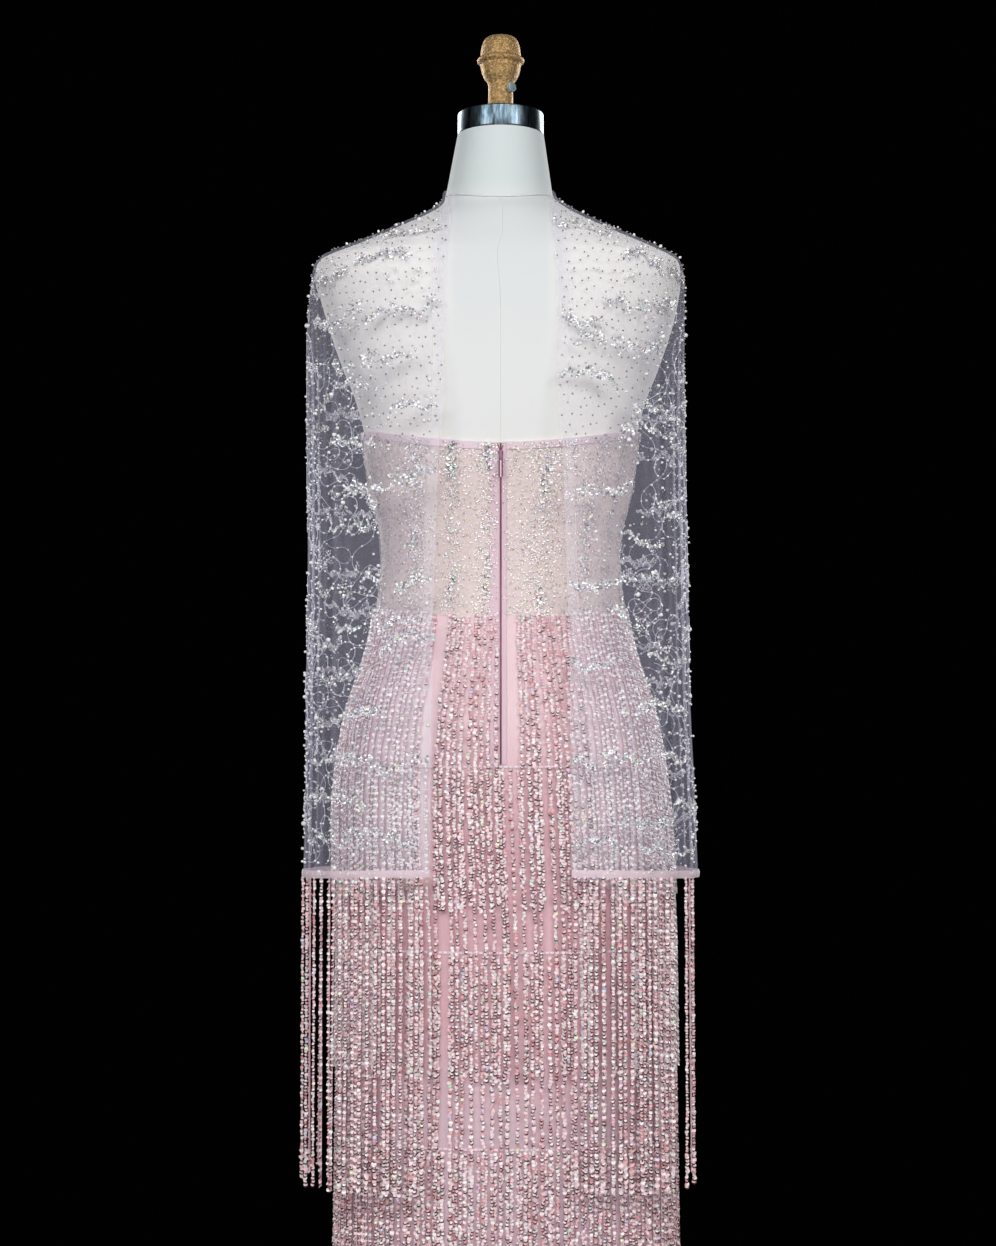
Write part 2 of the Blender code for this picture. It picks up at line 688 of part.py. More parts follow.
def sheer_cape():
    panel_rows = (*CAPE_LEVELS, CAPE_HEM)
    cape_strips("cape", cape, panel_rows, panel_rows, 0.0, TULLE, LAVENDER_TULLE)
    binding_top = CAPE_HEM + CAPE_BINDING_HEIGHT
    binding_rows = (binding_top, CAPE_HEM)
    cape_strips("cape_binding", cape, binding_rows, binding_rows, TULLE + SEAM_GAP, TRIM, PINK_BINDING)
    band_rows = (*CAPE_LEVELS, binding_top + SEAM_GAP)
    left, right = (back_cape_angles(band_rows, toward)[:, -2:] for toward in (1, -1))
    heights = np.tile(np.array(band_rows)[:, None], (1, 2))
    for name, angles in (("cape_band_left", left), ("cape_band_right", mirrored(right))):
        wall(name, cape, angles, heights, TULLE + SEAM_GAP, TRIM, LAVENDER_TULLE)
    fringe_top = CAPE_HEM - SEAM_GAP
    fringe_rows = (fringe_top, fringe_top - FRINGE_LENGTH)
    hem = (CAPE_HEM, CAPE_HEM)
    cape_strips("cape_fringe", below_hem, hem, fringe_rows, 0.0, FRINGE_THICKNESS, SEQUIN_FRINGE)


# ---- dress form and stand


def dress_form():
    """Torso to the neck seam, then the neck up to its cap."""
    torso_levels = [height for height in FIGURE["height"][::-1] if height > TORSO_BOTTOM] + [TORSO_BOTTOM]
    torso_rings = [[figure(line, level) for line in FOLD_LINES] for level in torso_levels]
    solid_through("form_torso", torso_rings, FORM_CLOTH)
    seam = [figure(line, NECK_SEAM) + np.array((0, 0, SEAM_GAP)) for line in FOLD_LINES]
    rim = [
        NECK_TOP_RADIUS * np.array((math.cos(math.radians(line)), math.sin(math.radians(line)), 0))
        + np.array((0, 0, NECK_TOP))
        for line in FOLD_LINES
    ]
    solid_through("form_neck", [rim, seam], FORM_CLOTH)


def neck_cap():
    bottom = NECK_TOP + SEAM_GAP
    profile = [
        (0, CAP_TOP),
        (CAP_RADIUS - CAP_EDGE, CAP_TOP),
        (CAP_RADIUS, CAP_TOP - CAP_EDGE),
        (CAP_RADIUS, bottom + CAP_EDGE),
        (CAP_RADIUS - CAP_EDGE, bottom),
        (0, bottom),
    ]
    turned("neck_cap", profile, CHROME, sides=40)


def knob_profile():
    """Half outline of the knob, from the top down: a dome, a flange, a bulb and the stem."""
    outline = [(radius, KNOB_TOP - drop) for radius, drop in KNOB_OUTLINE]
    return outline + [(STEM_RADIUS, CAP_TOP + SEAM_GAP), (0, CAP_TOP + SEAM_GAP)]


def finial():
    knob = turned("finial_knob", knob_profile(), CAST_BRASS)
    bearing = math.radians(SCREW_BEARING)
    height = (0, 0, SCREW_HEIGHT)
    seat = STEM_RADIUS + SEAM_GAP
    hole_bottom = seat - SCREW_SHANK_LENGTH - 2 * SEAM_GAP
    hole_profile = [
        (0, seat + 0.002),
        (SCREW_SHANK_RADIUS + SEAM_GAP, seat + 0.002),
        (SCREW_SHANK_RADIUS + SEAM_GAP, hole_bottom),
        (0, hole_bottom),
    ]
    hole = turned("screw_hole", hole_profile, BLUE_STEEL, sides=16)
    place_along(hole, height, bearing)
    combine(knob, hole, "DIFFERENCE")
    profile = (
        (0, seat + SCREW_HEAD_LENGTH),
        (SCREW_HEAD_RADIUS, seat + SCREW_HEAD_LENGTH),
        (SCREW_HEAD_RADIUS, seat),
        (SCREW_SHANK_RADIUS, seat),
        (SCREW_SHANK_RADIUS, seat - SCREW_SHANK_LENGTH),
        (0, seat - SCREW_SHANK_LENGTH),
    )
    screw = turned("finial_screw", profile, BLUE_STEEL, sides=16)
    place_along(screw, height, bearing)


def place_along(obj, origin, bearing):
    """Lays a piece turned on Z along a level bearing."""
    obj.location = origin
    obj.rotation_euler = (0, math.pi / 2, bearing)


def stand():
    collar_top = TORSO_BOTTOM - SEAM_GAP
    collar_bottom = TORSO_BOTTOM - COLLAR_HEIGHT
    plate_bottom = collar_top - COLLAR_PLATE
    collar = [
        (0, collar_top),
        (COLLAR_RADIUS, collar_top),
        (COLLAR_RADIUS, plate_bottom),
        (COLLAR_SOCKET_RADIUS, plate_bottom - 0.002),
        (COLLAR_SOCKET_RADIUS, collar_bottom),
        (0, collar_bottom),
    ]
    turned("stand_collar", collar, STAND_PAINT)
    pole_top = collar_bottom - SEAM_GAP
    pole_bottom = HUB_TOP + SEAM_GAP
    pole = [(0, pole_top), (POLE_RADIUS, pole_top), (POLE_RADIUS, pole_bottom), (0, pole_bottom)]
    turned("stand_pole", pole, CHROME)
    base = [
        (0, HUB_TOP),
        (HUB_RADIUS, HUB_TOP),
        (HUB_RADIUS, HUB_FOOT + 0.005),
        (HUB_RADIUS + 0.012, HUB_FOOT),
        (BASE_RADIUS - 0.030, BASE_EDGE + 0.001),
        (BASE_RADIUS - 0.003, BASE_EDGE - 0.001),
        (BASE_RADIUS, BASE_EDGE - 0.004),
        (BASE_RADIUS, 0),
        (0, 0),
    ]
    turned("stand_base", base, STAND_PAINT, sides=48)


def main():
    for obj in list(bpy.data.objects):
        bpy.data.objects.remove(obj)
    bodice()
    bodice_binding()
    skirt()
    fringe_tiers()
    zip_fastener()
    sheer_cape()
    dress_form()
    neck_cap()
    finial()
    stand()


main()
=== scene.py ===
"""The looks of a strapless fringe dress and its sheer open-backed cape on a limbless dress form.

Metres, +Z up. The gown faces -Y, so its zip and the cape's opening are on the +Y side.
"""

import math

import bpy
import numpy as np
from mathutils import Matrix, Vector


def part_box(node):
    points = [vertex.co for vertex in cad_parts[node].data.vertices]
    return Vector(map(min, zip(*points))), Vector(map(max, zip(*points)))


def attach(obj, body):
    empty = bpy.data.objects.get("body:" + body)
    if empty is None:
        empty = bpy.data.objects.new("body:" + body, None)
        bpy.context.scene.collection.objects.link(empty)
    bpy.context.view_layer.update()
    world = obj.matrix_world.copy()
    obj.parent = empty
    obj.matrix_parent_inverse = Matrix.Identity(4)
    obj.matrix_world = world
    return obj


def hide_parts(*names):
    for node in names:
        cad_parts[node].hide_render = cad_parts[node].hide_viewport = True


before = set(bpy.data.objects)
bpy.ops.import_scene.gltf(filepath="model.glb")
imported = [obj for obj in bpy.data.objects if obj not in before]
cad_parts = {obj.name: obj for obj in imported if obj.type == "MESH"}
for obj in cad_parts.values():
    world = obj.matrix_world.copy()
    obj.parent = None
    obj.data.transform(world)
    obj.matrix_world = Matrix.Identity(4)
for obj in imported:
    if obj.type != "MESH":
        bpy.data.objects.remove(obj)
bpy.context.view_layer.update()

# Cloth and the gaps between its layers.
SEAM_SHOWN = 0.00006
SEAM_GAP = 0.0003
REST_GAP = 0.0010
CLOTH = 0.0015
TULLE = 0.0004
TRIM = 0.0010
ON_CLOTH = REST_GAP + CLOTH
BEADWORK_LIFT = 0.0006

# Edges and seams of the gown. Angles go round the figure: 0 is the left side and 90 the centre back.
BODICE_TOP_AT_SIDES = 1.263
BODICE_TOP_BACK_DIP = 0.022
BODICE_TOP_FRONT_RISE = 0.029
BODICE_TOP_BINDING = 0.007
WAIST_JOIN_AT_SIDES = 1.076
WAIST_JOIN_DIP = 0.012
SKIRT_HEM = 0.045
SIDE_LEFT = 0.0
BACK_SEAM_LEFT = 65.0
CENTRE_BACK = 90.0
BACK_SEAM_RIGHT = 115.0
SIDE_RIGHT = 180.0
FRONT_SEAM_RIGHT = 235.0
CENTRE_FRONT = 270.0
FRONT_SEAM_LEFT = 305.0

# Seeds of the random draws. The number of a tier or a panel is added to those of its pieces.
SEEDS = {
    "tiers": 11, "strands": 20, "cape strands": 5, "cape fringe": 40,
    "bodice": 31, "bodice sequins": 33, "bodice paillettes": 34, "cape dots": 60,
    "cape panel": 70, "cape sequins": 80, "cape crystals": 90, "tendril beads": 95,
}

# Columns of the cloth's mesh, in degrees.
COLUMN_STEP = 1.5

# Fringe. Each tier hangs this far, and swings out a little as it goes down.
FRINGE_LENGTH = 0.308
FRINGE_ROWS = (0.9155, 0.7335, 0.5430, 0.3530)
FRINGE_SWING = 0.0100
FRINGE_STAND = 0.0013
FIRST_TIER_PITCH = 0.0050
LOWER_TIER_PITCH = 0.0079
CAPE_FRINGE_PITCH = 0.0072
FIRST_TIER_SEQUINS = {"Pitch": 0.0029, "Radius": 0.0021, "Spread": 0.0012, "Side turn": 0.38}
LOWER_TIER_SEQUINS = {"Pitch": 0.0032, "Radius": 0.0022}
CAPE_FRINGE_SEQUINS = {**LOWER_TIER_SEQUINS, "Spread": 0.0005, "End size": 1.25, "End share": 0.10}
BUNCH = 5
FIRST_TIER_BUNCHING = 0.10
LOWER_TIER_BUNCHING = 0.18
CAPE_BUNCHING = 0.20
TOP_OVERLAP = 0.002
TOP_UNEVENNESS = 0.003
END_UNEVENNESS = 0.005
TIER_CLEARANCE = 0.006
FIRST_TIER_CLEARANCE = 0.012
TIER_DRIFT = 0.0016
CAPE_FRINGE_CLEARANCE = 0.0015
CAPE_END_UNEVENNESS = 0.0025
CAPE_DRIFT = 0.0012
STRAND_GIRTHS = (0.88, 1.08)
STRAND_POINTS = 11
STRAND_WAVE = 0.0006
STRAND_WAVE_TURN = 5.0
STRAND_DRIFT_POWER = 1.4

# Shades of the strands. A tone above 1 lightens a whole strand: on the upper tiers under the cape, painted
# light that offsets the net's shadow.
STRAND_TONE = 0.06
FIRST_TIER_TONE = 0.06
CAPE_FRINGE_TONE = 0.03
COVERED_PAINTED_LIGHT_TONE = 1.05
PAINTED_LIGHT_TIERS = 2
COVER_EDGE = 0.066

# Plain strips of the first tier, from the centre back, and the tapes that carry the other tiers.
BARE_RIGHT_OF_ZIP = 0.0122
BARE_LEFT_OF_ZIP = 0.0012
BARE_STRIP = (0.0490, 0.0600)
HEADING_WIDTH = 0.0030
HEADING_THICKNESS = 0.0006
HEADING_STITCHES = {"Pitch": 0.0050, "Length": 0.0036, "Width": 0.0017}

# Zip.
ZIP_TOP = 1.2402
ZIP_END = 0.918
ZIP_CHAIN_WIDTH = 0.0018
TAPE_LEFT_WIDTH = 0.0095
TAPE_RIGHT_WIDTH = 0.0045
TAPE_THICKNESS = 0.0008
TEETH_LIFT = 0.0004
ZIP_TEETH = {"Pitch": 0.0011, "Length": 0.0007, "Width": 0.0011}
OPEN_END_NEAR = 0.0006
OPEN_END_SPREAD = 0.0026
OPEN_END_LIFT = 0.0011

# Slider and pull. The plate: width, thickness, length. The eye: width, length, corner.
SLIDER_HEIGHT = 1.2280
SLIDER_PLATE = (0.0050, 0.0012, 0.0105)
SLIDER_CORNER = 0.0020
SLIDER_TAPER = 0.22
SLIDER_SEAT = ON_CLOTH + 2 * SEAM_GAP + TAPE_THICKNESS
SLIDER_BRIDGE_LENGTH = 0.0078
SLIDER_WIRE = 0.00045
PULL_CORNER = 0.0012
PULL_EYE = (0.0024, 0.0029, 0.0008)
PULL_EYE_BAR = 0.0004

# Cape.
CAPE_NECK = 1.516
CAPE_REST_LEVEL = 1.425
CAPE_REST_GAP = 0.0026
CAPE_HEM = 0.803
CAPE_BAND_WIDTH = 0.011
CAPE_BINDING_HEIGHT = 0.0075
HEM_ROLL = 0.0006
PLEATS_FULL_BELOW = 0.125
GATHERS_FULL_BELOW = 0.10
OPENING_CLEARANCE = 0.4
LOOSE_TURNS = np.array((1.0, 2.6))

# Strands of the cape's fringe that hang beyond the skirt's width, behind and in front: how far to the left.
CAPE_FRINGE_CORNER = 0.171
SIDE_STRANDS_BEHIND = (0.2022, 0.1945, 0.1865, 0.1780, -0.1850, -0.1935)
SIDE_STRANDS_BEFORE = (0.1975, 0.1890, -0.1960)

# How the net is gathered beside each side line: how far from it in degrees, how much denser, and how wide.
GATHER_ROWS = (
    (3.0, 2.0, 1.0), (9.0, 1.6, 0.9), (15.0, 1.9, 1.1),
    (22.0, 1.3, 1.0), (30.0, 0.9, 1.0), (38.0, 0.6, 1.2),
)

# Motifs of the cape: the rows they stand in, their stems, leaflets and petals, and the trails between.
MOTIF_DROP = 0.046
MOTIF_STEP = 0.088
MOTIF_FIRST_ODD = 0.034
MOTIF_FIRST_EVEN = 0.092
MOTIF_SCATTER = (0.011, 0.009)
SPRIG_LENGTHS = (0.044, 0.084)
SIDE_SPRIG_LENGTHS = (0.026, 0.046)
SIDE_SPRIG_REACH = 0.030
TRAIL_LENGTHS = (0.035, 0.070)
TRAIL_SWELL = 0.0026
ROSETTE_RADII = (0.0095, 0.0135)
SPRIG_STEP = 0.0023
SPRIG_ROW_GAP = 0.0022
LEAFLET_PITCH = 0.0085
LEAFLET_TURN = 0.95
LEAFLET_REACHES = (0.0034, 0.0054, 0.0076)
LEAFLET_SIZES = (0.95, 1.2, 1.0)
TRAIL_STEP = 0.0048
TRAIL_WAVE = 0.035

# A petal's sequins: share of the rosette's radius, angle from the petal's middle, and size.
PETAL_MARKS = (
    (0.34, 0.0, 1.0), (0.60, -0.20, 1.1), (0.60, 0.20, 1.1),
    (0.82, -0.16, 0.95), (0.82, 0.16, 0.95), (1.0, 0.0, 0.85),
)

# Dots, crystals and tendrils of the cape. Crystals are at the hem, small, and large.
SIDE_CLEARANCE = 0.075
DOT_PITCH = 0.0100
DOTS_END = 1.24
DOT_SIZES = (0.75, 1.05)
CRYSTALS_PER_METRE = (130, 1000, 160)
CRYSTAL_SIZES = (0.4, 0.95), (0.8, 1.4), (1.5, 2.0)
TENDRIL_POINTS = 56
TENDRIL_STEP = 0.034
TENDRIL_DROP = 0.085
TENDRIL_LENGTHS = (0.12, 0.26)
TENDRIL_BENDS = (0.0125, 0.0215)
TENDRIL_START = 0.014
TENDRIL_ZONE = 0.110
TENDRIL_TOP = 1.37

# Beadwork of the bodice.
BEADWORK_TOP = 1.300
BEADWORK_MARGIN = 0.0010
BODICE_SEQUIN_SIZES = (0.75, 1.2)
PAILLETTE_SIZES = (0.8, 1.1)
BODICE_SEQUIN_COUNT = 84000
TOP_SHARE = 0.28
EDGE_SHARE = 0.75
EDGE_LIFT = 0.0012
CHAIN_CLEARANCE = 0.0024
PAILLETTE_SHARE = 0.09
PAILLETTE_LIFT = 0.0010

# Dress form.
TORSO_BOTTOM = 0.820
NECK_SEAM = 1.511
NECK_TOP = 1.5780
NECK_TOP_RADIUS = 0.0455
STEM_RADIUS = 0.0130
PARTING_LINE = 53.0
PARTING_RIDGE = 0.0004
PARTING_SPREAD = 3.0
FORM_SEAM_LIFT = 0.0001
NECK_THREAD_RISE = 0.0014
SCREW_BEARING = 136.0
SCREW_HEAD_RADIUS = 0.0050
SCREW_HEAD_LENGTH = 0.0045
SCREW_SHANK_RADIUS = 0.0026
SCREW_SHANK_LENGTH = 0.0050
SCREW_SLOT = (0.0012, 0.0032)
SCREW_SLOT_TURN = 0.7

# Camera.
CAMERA_PLACE = (0, 2.4, 0.914)
CAMERA_AIM = (0.0028, 0, 1.0649)
CAMERA_LENS = 66.886
CAMERA_SENSOR = 36.0

# The knob's outline from its top: radius, and how far down.
KNOB_OUTLINE = (
    (0.0000, 0.0000), (0.0110, 0.0002), (0.0142, 0.0010), (0.0166, 0.0028),
    (0.0188, 0.0063), (0.0202, 0.0115), (0.0213, 0.0200), (0.0214, 0.0225),
    (0.0249, 0.0247), (0.0249, 0.0273), (0.0212, 0.0303), (0.0208, 0.0341),
    (0.0194, 0.0400), (0.0173, 0.0447), (0.0141, 0.0493), (STEM_RADIUS, 0.0517),
)

# Bust of the figure: a mound at each front seam.
BUST_FROM_CENTRE = 35.0
BUST_SPREAD = 17.0

# Cross-sections of the figure and of the cape. A row that stops short has the usual values in what follows.
SECTION_COLUMNS = ("height", "half_width", "back", "front", "bust", "lean", "square", "back_dip", "front_dip")
SECTION_USUAL = (0, 0, 2.10, 0, 0)
FIGURE_ROWS = (
    (0.045, 0.1685, 0.1150, 0.1080, 0, -0.0055),
    (0.720, 0.1685, 0.1150, 0.1080, 0, -0.0055),
    (0.808, 0.1695, 0.1165, 0.1070, 0, -0.003),
    (0.870, 0.1685, 0.1180, 0.1060, 0, -0.001),
    (0.913, 0.1650, 0.1180, 0.1045),
    (0.960, 0.1575, 0.1155, 0.1015),
    (1.000, 0.1465, 0.1085, 0.0975),
    (1.030, 0.1360, 0.1000, 0.0940),
    (1.062, 0.1295, 0.0925, 0.0905),
    (1.106, 0.1225, 0.0840, 0.0860),
    (1.128, 0.1215, 0.0820, 0.0850),
    (1.158, 0.1235, 0.0825, 0.0890),
    (1.194, 0.1320, 0.0865, 0.0970, 0.004),
    (1.228, 0.1380, 0.0910, 0.1060, 0.013),
    (1.258, 0.1415, 0.0955, 0.1120, 0.018),
    (1.297, 0.1515, 0.1005, 0.1130, 0.012),
    (1.328, 0.1640, 0.1035, 0.1110, 0.004),
    (1.370, 0.1785, 0.1050, 0.1050, 0, 0, 2.15),
    (1.400, 0.1865, 0.1040, 0.0980, 0, 0.001, 2.20),
    (1.425, 0.1915, 0.1010, 0.0920, 0, 0.003, 2.20, 0, 0.008),
    (1.440, 0.1895, 0.0970, 0.0880, 0, 0.0025, 2.20, 0.001, 0.018),
    (1.457, 0.1575, 0.0900, 0.0800, 0, -0.0015, 2.10, 0.003, 0.030),
    (1.466, 0.1365, 0.0855, 0.0760, 0, -0.002, 2.06, 0.0043, 0.035),
    (1.479, 0.1075, 0.0790, 0.0700, 0, -0.002, 2.00, 0.006, 0.042),
    (1.498, 0.0695, 0.0680, 0.0620, 0, -0.002, 2.00, 0.009, 0.052),
    (1.507, 0.0590, 0.0610, 0.0570, 0, 0, 2.00, 0.011, 0.056),
    (1.511, 0.0565, 0.0590, 0.0560, 0, 0.0015, 2.00, 0.012, 0.057),
)

CAPE_ROWS = (
    (0.803, 0.2030, 0.1360, 0.1375, 0, 0, 2.30, -0.0055),
    (0.900, 0.2005, 0.1325, 0.1365, 0, 0.001, 2.30, -0.0035),
    (1.000, 0.1985, 0.1280, 0.1355, 0, 0.003, 2.30, -0.0015),
    (1.120, 0.1972, 0.1225, 0.1340, 0, 0.003, 2.30),
    (1.220, 0.1966, 0.1175, 0.1320, 0, 0.0045, 2.30),
    (1.300, 0.1968, 0.1135, 0.1270, 0, 0.005, 2.30),
    (1.360, 0.1968, 0.1105, 0.1150, 0, 0.005, 2.25),
    (1.400, 0.1962, 0.1070, 0.1050, 0, 0.004, 2.20, 0, 0.002),
    (1.425, 0.1940, 0.1035, 0.0945, 0, 0.003, 2.20, 0, 0.008),
)

OPENING_COLUMNS = ("height", "half_width")
OPENING_ROWS = (
    (0.803, 0.0690), (1.030, 0.0675), (1.160, 0.0635), (1.240, 0.0610), (1.280, 0.0565),
    (1.380, 0.0564), (1.440, 0.0540), (1.479, 0.0515), (1.516, 0.0530),
)

# Pleats of the cape beside each side line: degrees from it, depth in metres and spread in degrees.
PLEAT_ROWS = (
    (5.0, 0.0010, 2.2), (14.0, 0.0060, 4.6), (23.0, -0.0020, 3.0),
    (31.0, 0.0030, 3.4), (43.0, 0.0016, 4.0),
)


# ---- reading the tables


def smooth_table(columns, rows, usual=()):
    """Each named column as an array, with the slopes of a smooth curve that never swings past its rows."""
    given = len(columns) - len(usual)
    rows = [(*row, *usual[len(row) - given :]) for row in rows]
    table = {name: np.array(values, float) for name, values in zip(columns, zip(*rows))}
    step = np.diff(table["height"])
    for name in columns[1:]:
        rise = np.diff(table[name]) / step
        slope = np.zeros(len(rows))
        slope[0], slope[-1] = rise[0], rise[-1]
        for row in range(1, len(rows) - 1):
            before, after = rise[row - 1], rise[row]
            if before * after > 0:
                weight = 2 * step[row] + step[row - 1]
                other = step[row] + 2 * step[row - 1]
                slope[row] = (weight + other) / (weight / before + other / after)
        table[name + " slope"] = slope
    return table


FIGURE = smooth_table(SECTION_COLUMNS, FIGURE_ROWS, SECTION_USUAL)
CAPE = smooth_table(SECTION_COLUMNS, CAPE_ROWS, SECTION_USUAL)
OPENING = smooth_table(OPENING_COLUMNS, OPENING_ROWS)


def read_off(table, name, height):
    """A column's value at each height, on its smooth curve."""
    levels = table["height"]
    height = np.clip(height, levels[0], levels[-1])
    row = np.clip(np.searchsorted(levels, height) - 1, 0, len(levels) - 2)
    step = levels[row + 1] - levels[row]
    t = (height - levels[row]) / step
    value, slope = table[name], table[name + " slope"]
    start = (2 * t**3 - 3 * t**2 + 1) * value[row] + (t**3 - 2 * t**2 + t) * step * slope[row]
    end = (3 * t**2 - 2 * t**3) * value[row + 1] + (t**3 - t**2) * step * slope[row + 1]
    return start + end


def bell(value, centre, spread):
    """1 at its centre, and falling smoothly to nothing on both sides."""
    return np.exp(-(((value - centre) / spread) ** 2))


# ---- surfaces: points for arrays of angles and heights


def matched(angle, height):
    """An angle and a height as arrays of one shape."""
    return np.broadcast_arrays(np.asarray(angle, float), np.asarray(height, float))


def section(table, angle, height):
    """Points of a table's rounded cross-sections."""
    turn = np.radians(angle)
    across, along = np.cos(turn), np.sin(turn)
    square = read_off(table, "square", height)
    reach = (np.abs(across) ** square + np.abs(along) ** square) ** (-1 / square)
    depth = np.where(along > 0, read_off(table, "back", height), read_off(table, "front", height))
    dip = np.where(along > 0, read_off(table, "back_dip", height), read_off(table, "front_dip", height))
    x = read_off(table, "half_width", height) * reach * across + read_off(table, "lean", height)
    return np.stack([x, depth * reach * along, height - dip * along**2], axis=-1)


def figure(angle, height):
    """The dress form's surface, with its bust."""
    angle, height = matched(angle, height)
    points = section(FIGURE, angle, height)
    from_centre = np.abs(angle % 360 - CENTRE_FRONT)
    points[..., 1] -= read_off(FIGURE, "bust", height) * bell(from_centre, BUST_FROM_CENTRE, BUST_SPREAD)
    return points


def outward(surface, angle, height):
    """The way that faces out of a surface."""
    turn, rise = 1.0, 0.004
    around = surface(angle + turn, height) - surface(angle - turn, height)
    upward = surface(angle, height + rise) - surface(angle, height - rise)
    normal = np.cross(around, upward)
    return normal / np.linalg.norm(normal, axis=-1, keepdims=True)


def moved_out(surface, angle, height, distance):
    """Points this far outside a surface."""
    angle, height = matched(angle, height)
    return surface(angle, height) + np.asarray(distance)[..., None] * outward(surface, angle, height)


def side_of(angle):
    """Degrees from the nearer side line."""
    return np.abs((angle + 90) % 180 - 90)


def cape(angle, height):
    """The cape's inner face: on the shoulders it follows the figure, below it hangs in soft pleats."""
    angle, height = matched(angle, height)
    resting = moved_out(figure, angle, np.maximum(height, CAPE_REST_LEVEL), CAPE_REST_GAP)
    hanging = section(CAPE, angle, np.minimum(height, CAPE_REST_LEVEL))
    deepening = np.clip((CAPE_REST_LEVEL - height) / PLEATS_FULL_BELOW, 0, 1)
    inset = 0.0
    for from_side, depth, spread in PLEAT_ROWS:
        inset = inset + depth * bell(side_of(angle), from_side, spread)
    hanging[..., 0] -= np.sign(np.cos(np.radians(angle))) * inset * deepening
    return np.where((height >= CAPE_REST_LEVEL)[..., None], resting, hanging)


def below_hem(angle, height):
    """The surface that hangs straight down from the cape's hem."""
    angle, height = matched(angle, height)
    points = cape(angle, CAPE_HEM)
    points[..., 2] += height - CAPE_HEM
    return points


def speed(surface, angle, height):
    """How far a point moves on the surface for each degree of angle."""
    return np.linalg.norm(surface(angle + 0.5, height) - surface(angle - 0.5, height), axis=-1)


def spaced_round(surface, height, start, end, pitch):
    """Angles from start to end whose points lie a pitch apart along the surface."""
    fine = np.linspace(start, end, 721)
    points = surface(fine, height)
    gone = np.concatenate([[0], np.cumsum(np.linalg.norm(np.diff(points, axis=0), axis=1))])
    count = max(1, round(gone[-1] / pitch))
    return np.interp((np.arange(count) + 0.5) * gone[-1] / count, gone, fine)


# ---- edges of the pieces


def bodice_top(angle):
    """The bodice's top edge: it dips behind and rises in front."""
    along = np.sin(np.radians(angle))
    return BODICE_TOP_AT_SIDES + along**2 * np.where(along > 0, -BODICE_TOP_BACK_DIP, BODICE_TOP_FRONT_RISE)


def waist_join(angle):
    """Where the bodice and the skirt are joined."""
    return WAIST_JOIN_AT_SIDES - WAIST_JOIN_DIP * np.sin(np.radians(angle)) ** 2


def opening_angle(height, toward):
    """The angle of the cape's opening edge at each height. toward is 1 for the left, and -1 for the right."""
    target = read_off(OPENING, "half_width", height)
    low, high = np.full_like(height, 30.0), np.full_like(height, 90.0)
    for _ in range(24):
        middle = (low + high) / 2
        wide = toward * cape(90 - toward * (90 - middle), height)[..., 0] > target
        low, high = np.where(wide, middle, low), np.where(wide, high, middle)
    return 90 - toward * (90 - (low + high) / 2)


# ---- meshes


def link(name, mesh):
    """An object with this mesh, in the scene."""
    obj = bpy.data.objects.new(name, mesh)
    bpy.context.scene.collection.objects.link(obj)
    return obj


def smoothed(mesh, degrees):
    """Shades a mesh smooth, but for edges that turn by more than this."""
    mesh.shade_smooth()
    mesh.set_sharp_from_angle(angle=math.radians(degrees))
    return mesh


def cloth_mesh(name, points, faces, cloth_map):
    """A mesh with the place of each of its points on the flat cloth."""
    mesh = bpy.data.meshes.new(name)
    mesh.from_pydata(points.tolist(), [], faces.tolist())
    corner = np.empty(len(mesh.loops), np.int32)
    mesh.loops.foreach_get("vertex_index", corner)
    mesh.uv_layers.new(name="cloth").data.foreach_set("uv", cloth_map[corner].astype(np.float32).ravel())
    return smoothed(mesh, 50)


def strip_faces(first, second):
    """Quads between two rows of point numbers."""
    return np.stack([first[:-1], second[:-1], second[1:], first[1:]], axis=1)


def shell(name, surface, angles, heights, inner, thickness, ring=False):
    """A thin closed shell of cloth on a surface, from grids of angles and heights, top row first."""
    rows, columns = angles.shape
    inner = np.broadcast_to(inner, angles.shape)
    base, normal = surface(angles, heights), outward(surface, angles, heights)
    layers = [base + (inner + extra)[..., None] * normal for extra in (0.0, thickness)]
    points = np.concatenate([layer.reshape(-1, 3) for layer in layers])
    number = np.arange(2 * rows * columns).reshape(2, rows, columns)
    if ring:
        number = np.concatenate([number, number[:, :, :1]], axis=2)
    inside, outside = number
    faces = [strip_faces(outside[row], outside[row + 1]) for row in range(rows - 1)]
    faces += [strip_faces(inside[row + 1], inside[row]) for row in range(rows - 1)]
    faces += [strip_faces(inside[0], outside[0]), strip_faces(outside[-1], inside[-1])]
    if not ring:
        faces += [strip_faces(outside[:, 0], inside[:, 0]), strip_faces(inside[:, -1], outside[:, -1])]
    width = np.linalg.norm(np.diff(base, axis=1), axis=-1)
    drop = np.linalg.norm(np.diff(base, axis=0), axis=-1)
    u = np.concatenate([np.zeros((rows, 1)), np.cumsum(width, axis=1)], axis=1)
    v = -np.concatenate([np.zeros((1, columns)), np.cumsum(drop, axis=0)], axis=0)
    cloth_map = np.stack([u - u[:, columns // 2][:, None], v], axis=-1).reshape(-1, 2)
    return link(name, cloth_mesh(name, points, np.concatenate(faces), np.concatenate([cloth_map] * 2)))


def circle(radius, turn, level):
    """Points round the Z axis at one level."""
    return np.stack([radius * np.cos(turn), radius * np.sin(turn), np.full_like(turn, level)], axis=1)


def lathe(name, profile, sides):
    """A closed piece turned on the Z axis from (radius, height) points, from the top down."""
    turn = np.linspace(0, 2 * math.pi, sides, endpoint=False)
    return rings_solid(name, [circle(radius, turn, height) for radius, height in profile])


